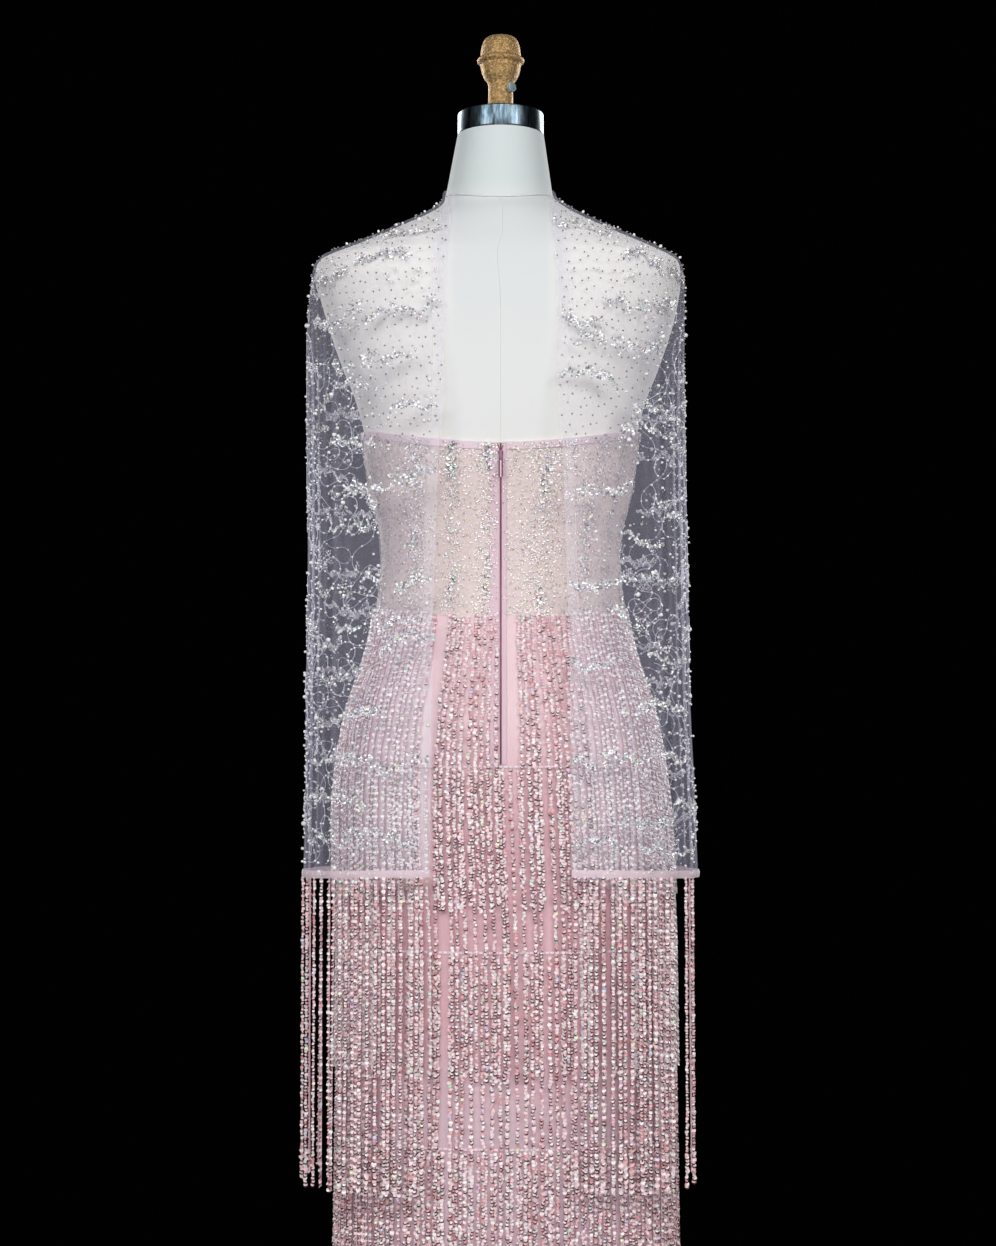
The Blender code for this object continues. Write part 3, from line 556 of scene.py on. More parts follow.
def rings_solid(name, rings):
    """A closed solid through rings of points, from the top down."""
    count, sides = len(rings), len(rings[0])
    points = np.concatenate(rings)
    number = np.arange(count * sides).reshape(count, sides)
    number = np.concatenate([number, number[:, :1]], axis=1)
    faces = [strip_faces(number[row], number[row + 1]) for row in range(count - 1)]
    quads = np.concatenate(faces).tolist()
    top, bottom = number[0, :-1], number[-1, :-1]
    mesh = bpy.data.meshes.new(name)
    mesh.from_pydata(points.tolist(), [], quads + [top.tolist(), bottom[::-1].tolist()])
    return link(name, smoothed(mesh, 35))


# ---- node trees

SOCKET_KINDS = {float: "Float", int: "Int"}


def put(tree, kind, inputs=None, **settings):
    """A node with its settings, and its inputs by name or number: each a value or another node's socket."""
    node = tree.nodes.new(kind)
    for name, value in settings.items():
        setattr(node, name, value)
    for key, value in (inputs or {}).items():
        if isinstance(value, bpy.types.NodeSocket):
            tree.links.new(value, node.inputs[key])
        else:
            node.inputs[key].default_value = value
    return node


def math_of(tree, operation, first, second=0.0):
    """The result of one sum on numbers."""
    return put(tree, "ShaderNodeMath", {0: first, 1: second}, operation=operation).outputs[0]


def times(tree, first, second):
    """One number times another."""
    return math_of(tree, "MULTIPLY", first, second)


def plus(tree, first, second):
    """One number added to another."""
    return math_of(tree, "ADD", first, second)


def vector_of(tree, operation, first, second):
    """The result of one sum on vectors."""
    return put(tree, "ShaderNodeVectorMath", {0: first, 1: second}, operation=operation).outputs["Vector"]


def scaled(tree, vector, scale):
    """A vector times a number."""
    return put(tree, "ShaderNodeVectorMath", {0: vector, "Scale": scale}, operation="SCALE").outputs["Vector"]


def length_of(tree, vector):
    """How long a vector is."""
    return put(tree, "ShaderNodeVectorMath", {0: vector}, operation="LENGTH").outputs["Value"]


def parts_of(tree, place):
    """The X, Y and Z of a place."""
    return put(tree, "ShaderNodeSeparateXYZ", {0: place}).outputs


def new_tree(name, kind, takes, gives):
    """An empty tree with its inputs and outputs by name: each a kind of socket, or an input's first value."""
    tree = bpy.data.node_groups.new(name, kind)
    for way, rows in (("INPUT", takes), ("OUTPUT", gives)):
        for label, value in rows.items():
            bare_kind = isinstance(value, str)
            socket_type = "NodeSocket" + (value if bare_kind else SOCKET_KINDS[type(value)])
            socket = tree.interface.new_socket(label, in_out=way, socket_type=socket_type)
            if not bare_kind:
                socket.default_value = value
    return tree, put(tree, "NodeGroupInput").outputs, put(tree, "NodeGroupOutput").inputs


# ---- trees that sew, thread and lay what repeats

CORE_SHADE = -9.0
CORE_BELOW = -8.0


def named_field(tree, name, kind="FLOAT"):
    """A field that the mesh carries."""
    return put(tree, "GeometryNodeInputNamedAttribute", {"Name": name}, data_type=kind).outputs["Attribute"]


def stored(tree, geometry, name, value, kind="FLOAT"):
    """The geometry with a field of its points."""
    given = {"Geometry": geometry, "Name": name, "Value": value}
    node = put(tree, "GeometryNodeStoreNamedAttribute", given, data_type=kind, domain="POINT")
    return node.outputs["Geometry"]


def random_between(tree, low, high, seed, shift):
    """A random number for each point."""
    given = {2: low, 3: high, "Seed": plus(tree, seed, shift)}
    return put(tree, "FunctionNodeRandomValue", given, data_type="FLOAT").outputs[1]


def cup_sequin(tree, sides, radius, cup):
    """A small round cup: a fan of faces whose middle point is pressed in."""
    fan = {"Vertices": sides, "Radius": radius}
    disc = put(tree, "GeometryNodeMeshCircle", fan, fill_type="TRIANGLE_FAN").outputs["Mesh"]
    position = put(tree, "GeometryNodeInputPosition").outputs[0]
    hair = 0.00001
    at_middle = math_of(tree, "LESS_THAN", length_of(tree, position), hair)
    offset = put(tree, "ShaderNodeCombineXYZ", {"Z": times(tree, cup, -1.0)}).outputs[0]
    pressing = {"Geometry": disc, "Selection": at_middle, "Offset": offset}
    pressed = put(tree, "GeometryNodeSetPosition", pressing).outputs[0]
    smooth = put(tree, "GeometryNodeSetShadeSmooth", {"Geometry": pressed}).outputs[0]
    # spot, each point's place on the cup, sets where the painted rim shade falls.
    return stored(tree, smooth, "spot", vector_of(tree, "DIVIDE", position, radius), "FLOAT_VECTOR")


def round_bead(tree, sides, radius):
    """A small round bead."""
    ball = put(tree, "GeometryNodeMeshUVSphere", {"Segments": sides, "Rings": 3, "Radius": radius})
    return put(tree, "GeometryNodeSetShadeSmooth", {"Geometry": ball.outputs["Mesh"]}).outputs[0]


def path_curve(tree, mesh):
    """The curve along a mesh of open lines."""
    return put(tree, "GeometryNodeMeshToCurve", {"Mesh": mesh}).outputs[0]


def places_along(tree, curve, pitch):
    """Points a pitch apart along a curve."""
    return put(tree, "GeometryNodeCurveToPoints", {"Curve": curve, "Length": pitch}, mode="LENGTH").outputs


def round_thread(tree, curve, radius):
    """A thread with closed ends along a curve."""
    profile = put(tree, "GeometryNodeCurvePrimitiveCircle", {"Resolution": 3, "Radius": radius})
    tube = {"Curve": curve, "Profile Curve": profile.outputs[0], "Fill Caps": True}
    return put(tree, "GeometryNodeCurveToMesh", tube).outputs[0]


def facing(tree, out):
    """The turn that faces a piece out of the cloth."""
    return put(tree, "FunctionNodeAlignRotationToVector", {"Vector": out}, axis="Z").outputs[0]


def sewn_on_points(tree, points, ornament, rotation, scale, tilt):
    """An ornament on each point, turned by X, Y and Z angles of its own."""
    given = {"Points": points, "Instance": ornament, "Rotation": rotation, "Scale": scale}
    placed = put(tree, "GeometryNodeInstanceOnPoints", given).outputs[0]
    turn = put(tree, "ShaderNodeCombineXYZ", dict(zip("XYZ", tilt))).outputs[0]
    return put(tree, "GeometryNodeRotateInstances", {"Instances": placed, "Rotation": turn}).outputs[0]


def finished(tree, geometry, material):
    """Real faces in one finish."""
    real = put(tree, "GeometryNodeRealizeInstances", {"Geometry": geometry}).outputs[0]
    return put(tree, "GeometryNodeSetMaterial", {"Geometry": real, "Material": material}).outputs[0]


def threading_tree():
    """Threads overlapping cup sequins on each strand, facing out of the cloth, and larger ones at its end."""
    takes = {
        "Strands": "Geometry",
        "Pitch": 0.0031,
        "Radius": 0.0021,
        "Cup": -0.0007,
        "Lean": 0.50,
        "Tilt": 0.35,
        "Side turn": 0.50,
        "End size": 1.2,
        "End share": 0.03,
        "Spread": 0.0009,
        "Thread radius": 0.0010,
        "Seed": 1,
        "Finish": "Material",
        "Thread finish": "Material",
    }
    tree, given, made = new_tree("Threaded sequins", "GeometryNodeTree", takes, {"Fringe": "Geometry"})
    seed, spread, tilt = given["Seed"], given["Spread"], given["Tilt"]
    strands = path_curve(tree, given["Strands"])
    shade = plus(tree, random_between(tree, 0.0, 1.0, seed, 1), named_field(tree, "tone"))
    shaded = stored(tree, places_along(tree, strands, given["Pitch"])["Points"], "shade", shade)

    out = named_field(tree, "out", "FLOAT_VECTOR")
    beside = vector_of(tree, "CROSS_PRODUCT", out, (0, 0, 1))
    aside = random_between(tree, times(tree, spread, -1.0), spread, seed, 6)
    before_thread = scaled(tree, out, given["Thread radius"])
    offset = vector_of(tree, "ADD", before_thread, scaled(tree, beside, aside))
    moved = put(tree, "GeometryNodeSetPosition", {"Geometry": shaded, "Offset": offset}).outputs[0]

    end_start = math_of(tree, "SUBTRACT", 1.0, given["End share"])
    at_end = math_of(tree, "GREATER_THAN", named_field(tree, "along"), end_start)
    larger = times(tree, at_end, math_of(tree, "SUBTRACT", given["End size"], 1.0))
    uneven = times(tree, random_between(tree, 0.85, 1.1, seed, 2), named_field(tree, "girth"))
    upright = {"Rotation": facing(tree, out), "Vector": (0, 0, 1)}
    upright = put(tree, "FunctionNodeAlignRotationToVector", upright, axis="Y", pivot_axis="Z").outputs[0]

    nod = random_between(tree, times(tree, tilt, -1.0), tilt, seed, 3)
    number = put(tree, "GeometryNodeInputIndex").outputs[0]
    every_other = times(tree, math_of(tree, "MODULO", number, 2.0), 2.0)
    to_side = math_of(tree, "SUBTRACT", every_other, 1.0)
    side_turn = times(tree, given["Side turn"], random_between(tree, 0.3, 1.7, seed, 4))
    turns = (
        math_of(tree, "SUBTRACT", nod, given["Lean"]),
        times(tree, to_side, side_turn),
        random_between(tree, -0.5, 0.5, seed, 5),
    )
    cup = cup_sequin(tree, 6, given["Radius"], given["Cup"])
    sequins = sewn_on_points(tree, moved, cup, upright, plus(tree, larger, uneven), turns)

    core = round_thread(tree, strands, given["Thread radius"])
    joined = put(tree, "GeometryNodeJoinGeometry")
    for part in (sequins, stored(tree, core, "shade", CORE_SHADE)):
        tree.links.new(part, joined.inputs[0])
    covered = finished(tree, joined.outputs[0], given["Finish"])
    is_core = math_of(tree, "LESS_THAN", named_field(tree, "shade"), CORE_BELOW)
    wound = {"Geometry": covered, "Selection": is_core, "Material": given["Thread finish"]}
    tree.links.new(put(tree, "GeometryNodeSetMaterial", wound).outputs[0], made["Fringe"])
    return tree


def sewing_tree(name, ornament, sides, sizes):
    """Sews an ornament on each point, facing out of the cloth with a small random tilt."""
    takes = {"Places": "Geometry", **sizes, "Tilt": 0.3, "Seed": 1, "Finish": "Material"}
    tree, given, made = new_tree(name, "GeometryNodeTree", takes, {"Beadwork": "Geometry"})
    seed, tilt = given["Seed"], given["Tilt"]
    places = put(tree, "GeometryNodeMeshToPoints", {"Mesh": given["Places"]}).outputs[0]
    shaded = stored(tree, places, "shade", random_between(tree, 0.0, 1.0, seed, 1))
    rotation = facing(tree, named_field(tree, "out", "FLOAT_VECTOR"))
    shape = ornament(tree, sides, *(given[label] for label in sizes))
    back = times(tree, tilt, -1.0)
    turns = (
        random_between(tree, back, tilt, seed, 2),
        random_between(tree, back, tilt, seed, 3),
        random_between(tree, 0.0, math.pi, seed, 4),
    )
    turned = sewn_on_points(tree, shaded, shape, rotation, named_field(tree, "size"), turns)
    tree.links.new(finished(tree, turned, given["Finish"]), made["Beadwork"])
    return tree


def laying_tree():
    """Lays a round thread along each path."""
    takes = {"Paths": "Geometry", "Radius": 0.0003, "Finish": "Material"}
    tree, given, made = new_tree("Laid thread", "GeometryNodeTree", takes, {"Thread": "Geometry"})
    thread = round_thread(tree, path_curve(tree, given["Paths"]), given["Radius"])
    smooth = put(tree, "GeometryNodeSetShadeSmooth", {"Geometry": thread}).outputs[0]
    tree.links.new(finished(tree, smooth, given["Finish"]), made["Thread"])
    return tree


def stitching_tree():
    """Lays a short stitch, or a zip tooth, at every step along each path."""
    takes = {"Paths": "Geometry", "Pitch": 0.0035, "Length": 0.0024, "Width": 0.0006, "Finish": "Material"}
    tree, given, made = new_tree("Stitches", "GeometryNodeTree", takes, {"Stitches": "Geometry"})
    places = places_along(tree, path_curve(tree, given["Paths"]), given["Pitch"])
    size = put(tree, "ShaderNodeCombineXYZ", {"X": given["Width"], "Y": given["Width"], "Z": given["Length"]})
    stitch = put(tree, "GeometryNodeMeshCube", {"Size": size.outputs[0]}).outputs["Mesh"]
    placing = {"Points": places["Points"], "Instance": stitch, "Rotation": places["Rotation"]}
    placed = put(tree, "GeometryNodeInstanceOnPoints", placing).outputs[0]
    tree.links.new(finished(tree, placed, given["Finish"]), made["Stitches"])
    return tree


def grown(name, base, tree, **settings):
    """The plain piece that a tree makes from a base mesh, with the tree's inputs set by their names."""
    carrier = link(name + "_base", base)
    modifier = carrier.modifiers.new("Make", "NODES")
    modifier.node_group = tree
    for socket in tree.interface.items_tree:
        if socket.item_type == "SOCKET" and socket.in_out == "INPUT" and socket.name in settings:
            modifier[socket.identifier] = settings[socket.name]
    graph = bpy.context.evaluated_depsgraph_get()
    mesh = bpy.data.meshes.new_from_object(
        carrier.evaluated_get(graph), preserve_all_data_layers=True, depsgraph=graph
    )
    mesh.name = name
    bpy.data.objects.remove(carrier)
    return link(name, mesh)


def point_field(mesh, name, values):
    """Gives a mesh a field: a number or three for each of its points."""
    values = np.asarray(values, np.float32).ravel()
    if len(values) == 3 * len(mesh.vertices):
        mesh.attributes.new(name, "FLOAT_VECTOR", "POINT").data.foreach_set("vector", values)
    else:
        mesh.attributes.new(name, "FLOAT", "POINT").data.foreach_set("value", values)


def paths_mesh(name, paths, **fields):
    """A mesh of open lines, all with the same number of points, and fields for their points."""
    paths = np.asarray(paths)
    lines, points = paths.shape[:2]
    number = np.arange(lines * points).reshape(lines, points)
    edges = np.stack([number[:, :-1], number[:, 1:]], axis=-1).reshape(-1, 2)
    mesh = bpy.data.meshes.new(name)
    mesh.from_pydata(paths.reshape(-1, 3).tolist(), edges.tolist(), [])
    for label, values in fields.items():
        each = values if np.ndim(values) == 3 else np.broadcast_to(values, (lines, points))
        point_field(mesh, label, each)
    return mesh


def laid(name, paths, radius, material, slot):
    """Threads laid along paths."""
    base = paths_mesh(name + "_paths", paths)
    return belongs(grown(name, base, LAYING, Radius=radius, Finish=material), slot)


def stitched(name, paths, sizes, material, slot):
    """Stitches, or teeth, along paths."""
    base = paths_mesh(name + "_paths", paths)
    return belongs(grown(name, base, STITCHING, **sizes, Finish=material), slot)


def places_mesh(name, points, normals, sizes):
    """A mesh of loose points, each with the way it faces and its size."""
    mesh = bpy.data.meshes.new(name)
    mesh.from_pydata(points.tolist(), [], [])
    point_field(mesh, "out", normals)
    point_field(mesh, "size", sizes)
    return mesh


# ---- effects that several finishes share


def mixed(tree, factor, first, second):
    """One colour or another, or a mix of both."""
    return put(tree, "ShaderNodeMix", {0: factor, 6: first, 7: second}, data_type="RGBA").outputs[2]


def weave_group():
    """Height of a plain weave, from a place on the cloth and a count of threads to the metre."""
    takes = {"Place": "Vector", "Threads": 1500.0}
    tree, given, made = new_tree("Weave", "ShaderNodeTree", takes, {"Height": "Float"})
    place = parts_of(tree, given["Place"])
    turn = times(tree, given["Threads"], math.pi)
    across = math_of(tree, "SINE", times(tree, place["X"], turn))
    along = math_of(tree, "SINE", times(tree, place["Y"], turn))
    tree.links.new(times(tree, across, along), made["Height"])
    return tree


def mottle_group():
    """A colour that varies softly over the piece."""
    takes = {"Place": "Vector", "Colour": "Color", "Scale": 12.0, "Amount": 0.08}
    tree, given, made = new_tree("Mottle", "ShaderNodeTree", takes, {"Colour": "Color"})
    cloud = {"Vector": given["Place"], "Scale": given["Scale"], "Detail": 3.0}
    noise = put(tree, "ShaderNodeTexNoise", cloud).outputs[0]
    swing = math_of(tree, "SUBTRACT", noise, 0.5)
    value = plus(tree, times(tree, swing, times(tree, given["Amount"], 2.0)), 1.0)
    tinted = put(tree, "ShaderNodeHueSaturation", {"Color": given["Colour"], "Value": value}).outputs[0]
    tree.links.new(tinted, made["Colour"])
    return tree


def shade_group():
    """A sequin's colour and roughness from its shade and its place on the cup, some with a dark rim of
    painted shade.
    """
    takes = {
        "Shade": 0.5,
        "Spot": "Vector",
        "Dark": "Color",
        "Middle": "Color",
        "Light": "Color",
        "Rim": "Color",
        "Dark share": 0.25,
        "Light share": 0.25,
        "Painted rim share": 0.3,
        "Tint share": 0.06,
    }
    gives = {"Colour": "Color", "Roughness": "Float"}
    tree, given, made = new_tree("Sequin shade", "ShaderNodeTree", takes, gives)
    shade = given["Shade"]
    smoothest, roughness_swing, painted_rim_roughness = 0.22, 0.14, 0.40
    painted_rim_starts, painted_rim_centre, painted_rim_tone_limit = 0.76, (0, 0.32, 0), 1.15
    tint_saturation, tint_value = 0.3, 0.95

    def drawn(stretch):
        """Another number from 0 to 1 for each sequin, drawn from its shade."""
        return math_of(tree, "FRACT", times(tree, shade, stretch))

    is_dark = math_of(tree, "LESS_THAN", shade, given["Dark share"])
    is_light = math_of(tree, "GREATER_THAN", shade, math_of(tree, "SUBTRACT", 1.0, given["Light share"]))
    colour = mixed(tree, is_light, mixed(tree, is_dark, given["Middle"], given["Dark"]), given["Light"])
    first = drawn(11.3)
    hue = {0: drawn(37.0), 1: tint_saturation, 2: tint_value}
    tint = put(tree, "ShaderNodeCombineColor", hue, mode="HSV").outputs[0]
    colour = mixed(tree, math_of(tree, "LESS_THAN", first, given["Tint share"]), colour, tint)
    # The rim: a dark crescent at the lower edge of the cup on a share of the sequins, painted shade and
    # painted dark reflection, and rougher.
    reach = length_of(tree, vector_of(tree, "SUBTRACT", given["Spot"], painted_rim_centre))
    in_painted_rim = math_of(tree, "GREATER_THAN", reach, painted_rim_starts)
    painted_rim_shade = times(tree, in_painted_rim, math_of(tree, "LESS_THAN", drawn(5.17), given["Painted rim share"]))
    # Strands painted lighter under the cape keep almost no painted rim shade.
    painted_rim_shade = times(tree, painted_rim_shade, math_of(tree, "LESS_THAN", shade, painted_rim_tone_limit))
    tree.links.new(mixed(tree, painted_rim_shade, colour, given["Rim"]), made["Colour"])
    rougher = plus(tree, times(tree, first, roughness_swing), times(tree, painted_rim_shade, painted_rim_roughness))
    tree.links.new(plus(tree, rougher, smoothest), made["Roughness"])
    return tree


def grain_group():
    """Height of a fine cast or brushed grain."""
    takes = {"Place": "Vector", "Scale": 900.0}
    tree, given, made = new_tree("Grain", "ShaderNodeTree", takes, {"Height": "Float"})
    noise = {"Vector": given["Place"], "Scale": given["Scale"], "Detail": 4.0, "Roughness": 0.6}
    tree.links.new(put(tree, "ShaderNodeTexNoise", noise).outputs[0], made["Height"])
    return tree


# ---- finishes


def cloth_place(tree):
    """Where a point is on its cloth."""
    return put(tree, "ShaderNodeUVMap", uv_map="cloth").outputs[0]


def object_place(tree):
    """Where a point is in the frame."""
    return put(tree, "ShaderNodeTexCoord").outputs["Object"]


def ramp(tree, value, start, end):
    """Rises from 0 to 1 while a value goes from start to end."""
    return put(tree, "ShaderNodeMapRange", {"Value": value, "From Min": start, "From Max": end}).outputs[0]


def field_of(tree, name, output="Fac"):
    """A field that the piece carries."""
    return put(tree, "ShaderNodeAttribute", attribute_name=name).outputs[output]


def fill(tree, effect, inputs):
    """Places a shared effect with its inputs, and gives its outputs."""
    return put(tree, "ShaderNodeGroup", inputs, node_tree=effect).outputs


def mottled(tree, place, colour, scale, amount):
    """One colour that varies softly."""
    given = {"Place": place, "Colour": (*colour, 1), "Scale": scale, "Amount": amount}
    return fill(tree, MOTTLE, given)["Colour"]


def finish(name, given):
    """A new finish: its node tree and its shader, with the shader's inputs set."""
    material = bpy.data.materials.new(name)
    material.use_nodes = True
    tree = material.node_tree
    shader = tree.nodes["Principled BSDF"]
    for label, value in given.items():
        shader.inputs[label].default_value = value
    return material, tree, shader


def coloured(tree, shader, colour):
    """Gives a shader its colour."""
    tree.links.new(colour, shader.inputs["Base Color"])


def bumped(tree, shader, height, distance):
    """Raises a surface by a height times a distance."""
    bump = put(tree, "ShaderNodeBump", {"Height": height, "Distance": distance, "Strength": 1.0})
    tree.links.new(bump.outputs[0], shader.inputs["Normal"])


def cloth_finish(name, colour, threads, depth, sheen, amount=0.08, scale=12.0, tint=None, **given):
    """A woven or knitted cloth. sheen is its roughness, its sheen and that sheen's roughness."""
    labels = ("Roughness", "Sheen Weight", "Sheen Roughness")
    material, tree, shader = finish(name, {**dict(zip(labels, sheen)), **given})
    tone = mottled(tree, object_place(tree), colour, scale, amount)
    # tint, where given, varies the tone over the piece; for the satin and the form's jersey it also paints
    # light and shade.
    coloured(tree, shader, tint(tree, tone) if tint else tone)
    woven = fill(tree, WEAVE, {"Place": cloth_place(tree), "Threads": threads})
    bumped(tree, shader, woven["Height"], depth)
    return material


def sequin_finish(name, colours, shares, metallic, painted_rims_at_top=1.0, painted_rims_down=0.0):
    """Small cups of three shades, a few with a tint, and some with a dark rim of painted shade, more down a
    strand.
    """
    material, tree, shader = finish(name, {"Metallic": metallic})
    given = {label: (*colour, 1) for label, colour in zip(("Dark", "Middle", "Light", "Rim"), colours)}
    given |= dict(zip(("Dark share", "Light share", "Painted rim share", "Tint share"), shares))
    # The share of sequins with painted rim shade can grow down a strand.
    painted_rim_shares = plus(tree, times(tree, field_of(tree, "along"), painted_rims_down), painted_rims_at_top)
    given["Painted rim share"] = times(tree, painted_rim_shares, given["Painted rim share"])
    given["Shade"], given["Spot"] = field_of(tree, "shade"), field_of(tree, "spot", "Vector")
    shaded = fill(tree, SHADE, given)
    coloured(tree, shader, shaded["Colour"])
    tree.links.new(shaded["Roughness"], shader.inputs["Roughness"])
    return material


def metal_finish(name, colour, roughness, grain, depth, amount=0.1, scale=60.0, metallic=1.0, coat=0.0):
    """Metal or paint with a fine grain this deep, and a tone that varies softly."""
    given = {"Roughness": roughness, "Metallic": metallic, "Coat Weight": coat}
    material, tree, shader = finish(name, given)
    place = object_place(tree)
    coloured(tree, shader, mottled(tree, place, colour, scale, amount))
    bumped(tree, shader, fill(tree, GRAIN, {"Place": place, "Scale": grain})["Height"], depth)
    return material


def chrome_with_painted_reflections():
    """A polished ring with upright dark and bright bands painted into its colour: painted reflections of the
    studio and its lamps.
    """
    material, tree, shader = finish("chrome with painted reflections", {"Roughness": 0.3, "Metallic": 1.0})
    place = parts_of(tree, object_place(tree))
    round_it = math_of(tree, "ARCTAN2", place["Y"], place["X"])
    upright = put(tree, "ShaderNodeCombineXYZ", {"X": round_it, "Z": times(tree, place["Z"], 4.0)})
    bands = {"Vector": upright.outputs[0], "Scale": 9.0, "Detail": 5.0, "Roughness": 0.65}
    share = ramp(tree, put(tree, "ShaderNodeTexNoise", bands).outputs[0], 0.40, 0.68)
    # Painted reflections: dark bands for the dark studio, bright bands for the lamps.
    dark, bright_painted_reflection = (0.040, 0.070, 0.095, 1), (0.28, 0.36, 0.42, 1)
    coloured(tree, shader, mixed(tree, share, dark, bright_painted_reflection))
    return material


def plated(name, middle, edge, half):
    """Plated metal with a pale middle this wide each way, and painted shade along both long edges."""
    material, tree, shader = finish(name, {"Roughness": 0.4, "Metallic": 0.5})
    across = math_of(tree, "ABSOLUTE", parts_of(tree, object_place(tree))["X"])
    in_painted_edge_shade = math_of(tree, "GREATER_THAN", across, half)
    mottled_middle = mottled(tree, object_place(tree), middle, 900.0, 0.1)
    # The dark edge colour is painted shade along the rims of the tab and the slider.
    coloured(tree, shader, mixed(tree, in_painted_edge_shade, mottled_middle, (*edge, 1)))
    return material


def painted_light_under_cape(tree):
    """Where the skirt is under the cape, to be painted lighter: all round but for the opening, down to the
    cape's hem.
    """
    place = parts_of(tree, object_place(tree))
    aside = math_of(tree, "ABSOLUTE", place["X"])
    beside = ramp(tree, aside, COVER_EDGE, COVER_EDGE + 0.008)
    before = math_of(tree, "LESS_THAN", place["Y"], 0.0)
    above = ramp(tree, place["Z"], CAPE_HEM - 0.013, CAPE_HEM + 0.007)
    return times(tree, math_of(tree, "MAXIMUM", beside, before), above)


def satin_tint_and_painted_light(tree, tone):
    """The skirt's rose is cooler towards the hem, paler at the hips, and palest under the cape as painted
    light against the net's shadow.
    """
    height = parts_of(tree, object_place(tree))["Z"]
    hips, knees = (0.88, 0.96), (0.66, 0.57)
    paler, cooler, palest_painted_light = (0.89, 0.65, 0.70, 1), (0.78, 0.585, 0.66, 1), (0.96, 0.80, 0.84, 1)
    at_hips = mixed(tree, ramp(tree, height, *hips), tone, paler)
    cooled = mixed(tree, ramp(tree, height, *knees), at_hips, cooler)
    return mixed(tree, painted_light_under_cape(tree), cooled, palest_painted_light)


def jersey_painted_light_and_shade(tree, tone):
    """The form's jersey with painted light and shade: greyer neck, paler lower down, a little warmer under
    the cape.
    """
    place = parts_of(tree, object_place(tree))
    aside = math_of(tree, "ABSOLUTE", place["X"])
    back, cover, neck = (1.42, 1.30), (0.045, 0.075), (1.50, 1.52)
    # Painted shade greys the neck; painted light pales the jersey lower down and warms the shoulders that the
    # cape covers, against the net's shadow.
    pale, warm_painted_light, grey_painted_shade = (0.86, 0.87, 0.86, 1), (0.95, 0.925, 0.88, 1), (0.70, 0.755, 0.76, 1)
    lower = mixed(tree, ramp(tree, place["Z"], *back), tone, pale)
    covered = mixed(tree, ramp(tree, aside, *cover), lower, warm_painted_light)
    return mixed(tree, ramp(tree, place["Z"], *neck), covered, grey_painted_shade)


def tulle(name, cover, colour):
    """Sheer net: it covers a small share of what lies behind, more where it is gathered at its pleats."""
    sheen = {"Roughness": 0.7, "Sheen Weight": 1.0, "Sheen Roughness": 0.5, "Sheen Tint": (0.8, 0.8, 1, 1)}
    material, tree, shader = finish(name, sheen)
    place = cloth_place(tree)
    coloured(tree, shader, mottled(tree, place, colour, 30.0, 0.06))
    net = fill(tree, WEAVE, {"Place": place, "Threads": 900.0})["Height"]
    share = times(tree, plus(tree, field_of(tree, "gathered"), 1.0), cover)
    net_swing, most = 0.3, 0.9
    waved = times(tree, share, plus(tree, times(tree, net, net_swing), 1.0))
    tree.links.new(math_of(tree, "MINIMUM", waved, most), shader.inputs["Alpha"])
    return material


def thread_finish(name, colour):
    """Twisted thread, or small glass, of one colour that varies from piece to piece."""
    material, tree, shader = finish(name, {"Roughness": 0.45, "Sheen Weight": 0.3})
    coloured(tree, shader, mottled(tree, object_place(tree), colour, 200.0, 0.2))
    return material


WEAVE = weave_group()
MOTTLE = mottle_group()
SHADE = shade_group()
GRAIN = grain_group()

NUDE_LINING = cloth_finish("nude lining", (0.84, 0.70, 0.68), 1600.0, 0.0001, (0.6, 0.3, 0.4), 0.22, 320.0)
SATIN_SHINE = {"tint": satin_tint_and_painted_light, "Specular IOR Level": 0.6}
PINK_SATIN = cloth_finish("pink satin", (0.79, 0.49, 0.545), 2400.0, 0.00004, (0.38, 0.5, 0.3), **SATIN_SHINE)
PINK_TAPE = cloth_finish("pink tape", (0.80, 0.58, 0.66), 1200.0, 0.0001, (0.5, 0.4, 0.4))
LILAC_BINDING = cloth_finish("lilac binding", (0.86, 0.68, 0.76), 1200.0, 0.0001, (0.5, 0.6, 0.4), 0.15, 60.0)
JERSEY = (0.77, 0.80, 0.805)
FORM_JERSEY = cloth_finish("form jersey", JERSEY, 1500.0, 0.00006, (0.8, 0.2, 0.5), 0.03, 6.0, jersey_painted_light_and_shade)
CAPE_TULLE = tulle("cape tulle", 0.066, (0.80, 0.80, 1.0))
BAND_TULLE = tulle("band tulle", 0.085, (0.98, 0.91, 0.96))
SEAM_THREAD = thread_finish("seam thread", (0.90, 0.92, 0.92))
PINK_THREAD = thread_finish("pink thread", (0.93, 0.62, 0.68))
HEADING_THREAD = thread_finish("heading thread", (1.0, 0.86, 0.93))
SILVER_THREAD = thread_finish("silver thread", (0.74, 0.74, 0.90))
CRYSTAL = thread_finish("crystal", (1.0, 1.0, 1.0))

# The rim colour is painted shade: a dark crescent at the lower edge of a sequin's cup.
# Sequins: dark, middle, light and rim colours. Their finishes give the shares of dark, light, rims and tints.
ROSE_SHADES = (0.86, 0.46, 0.48), (1.0, 0.78, 0.81), (1.0, 0.94, 0.95), (0.045, 0.004, 0.006)
BODICE_SHADES = (0.60, 0.53, 0.54), (0.88, 0.81, 0.81), (0.98, 0.96, 0.97), (0.20, 0.15, 0.15)
PAILLETTE_SHADES = (0.50, 0.47, 0.48), (0.92, 0.92, 0.92), (1.0, 1.0, 1.0), (0.02, 0.012, 0.012)
CAPE_SHADES = (0.40, 0.39, 0.44), (0.80, 0.80, 0.86), (1.0, 1.0, 1.0), (0.15, 0.15, 0.18)
FIRST_TIER_SHINE = sequin_finish("first tier sequins", ROSE_SHADES, (0.10, 0.34, 0.30, 0.03), 0.05, 0.2, 1.5)
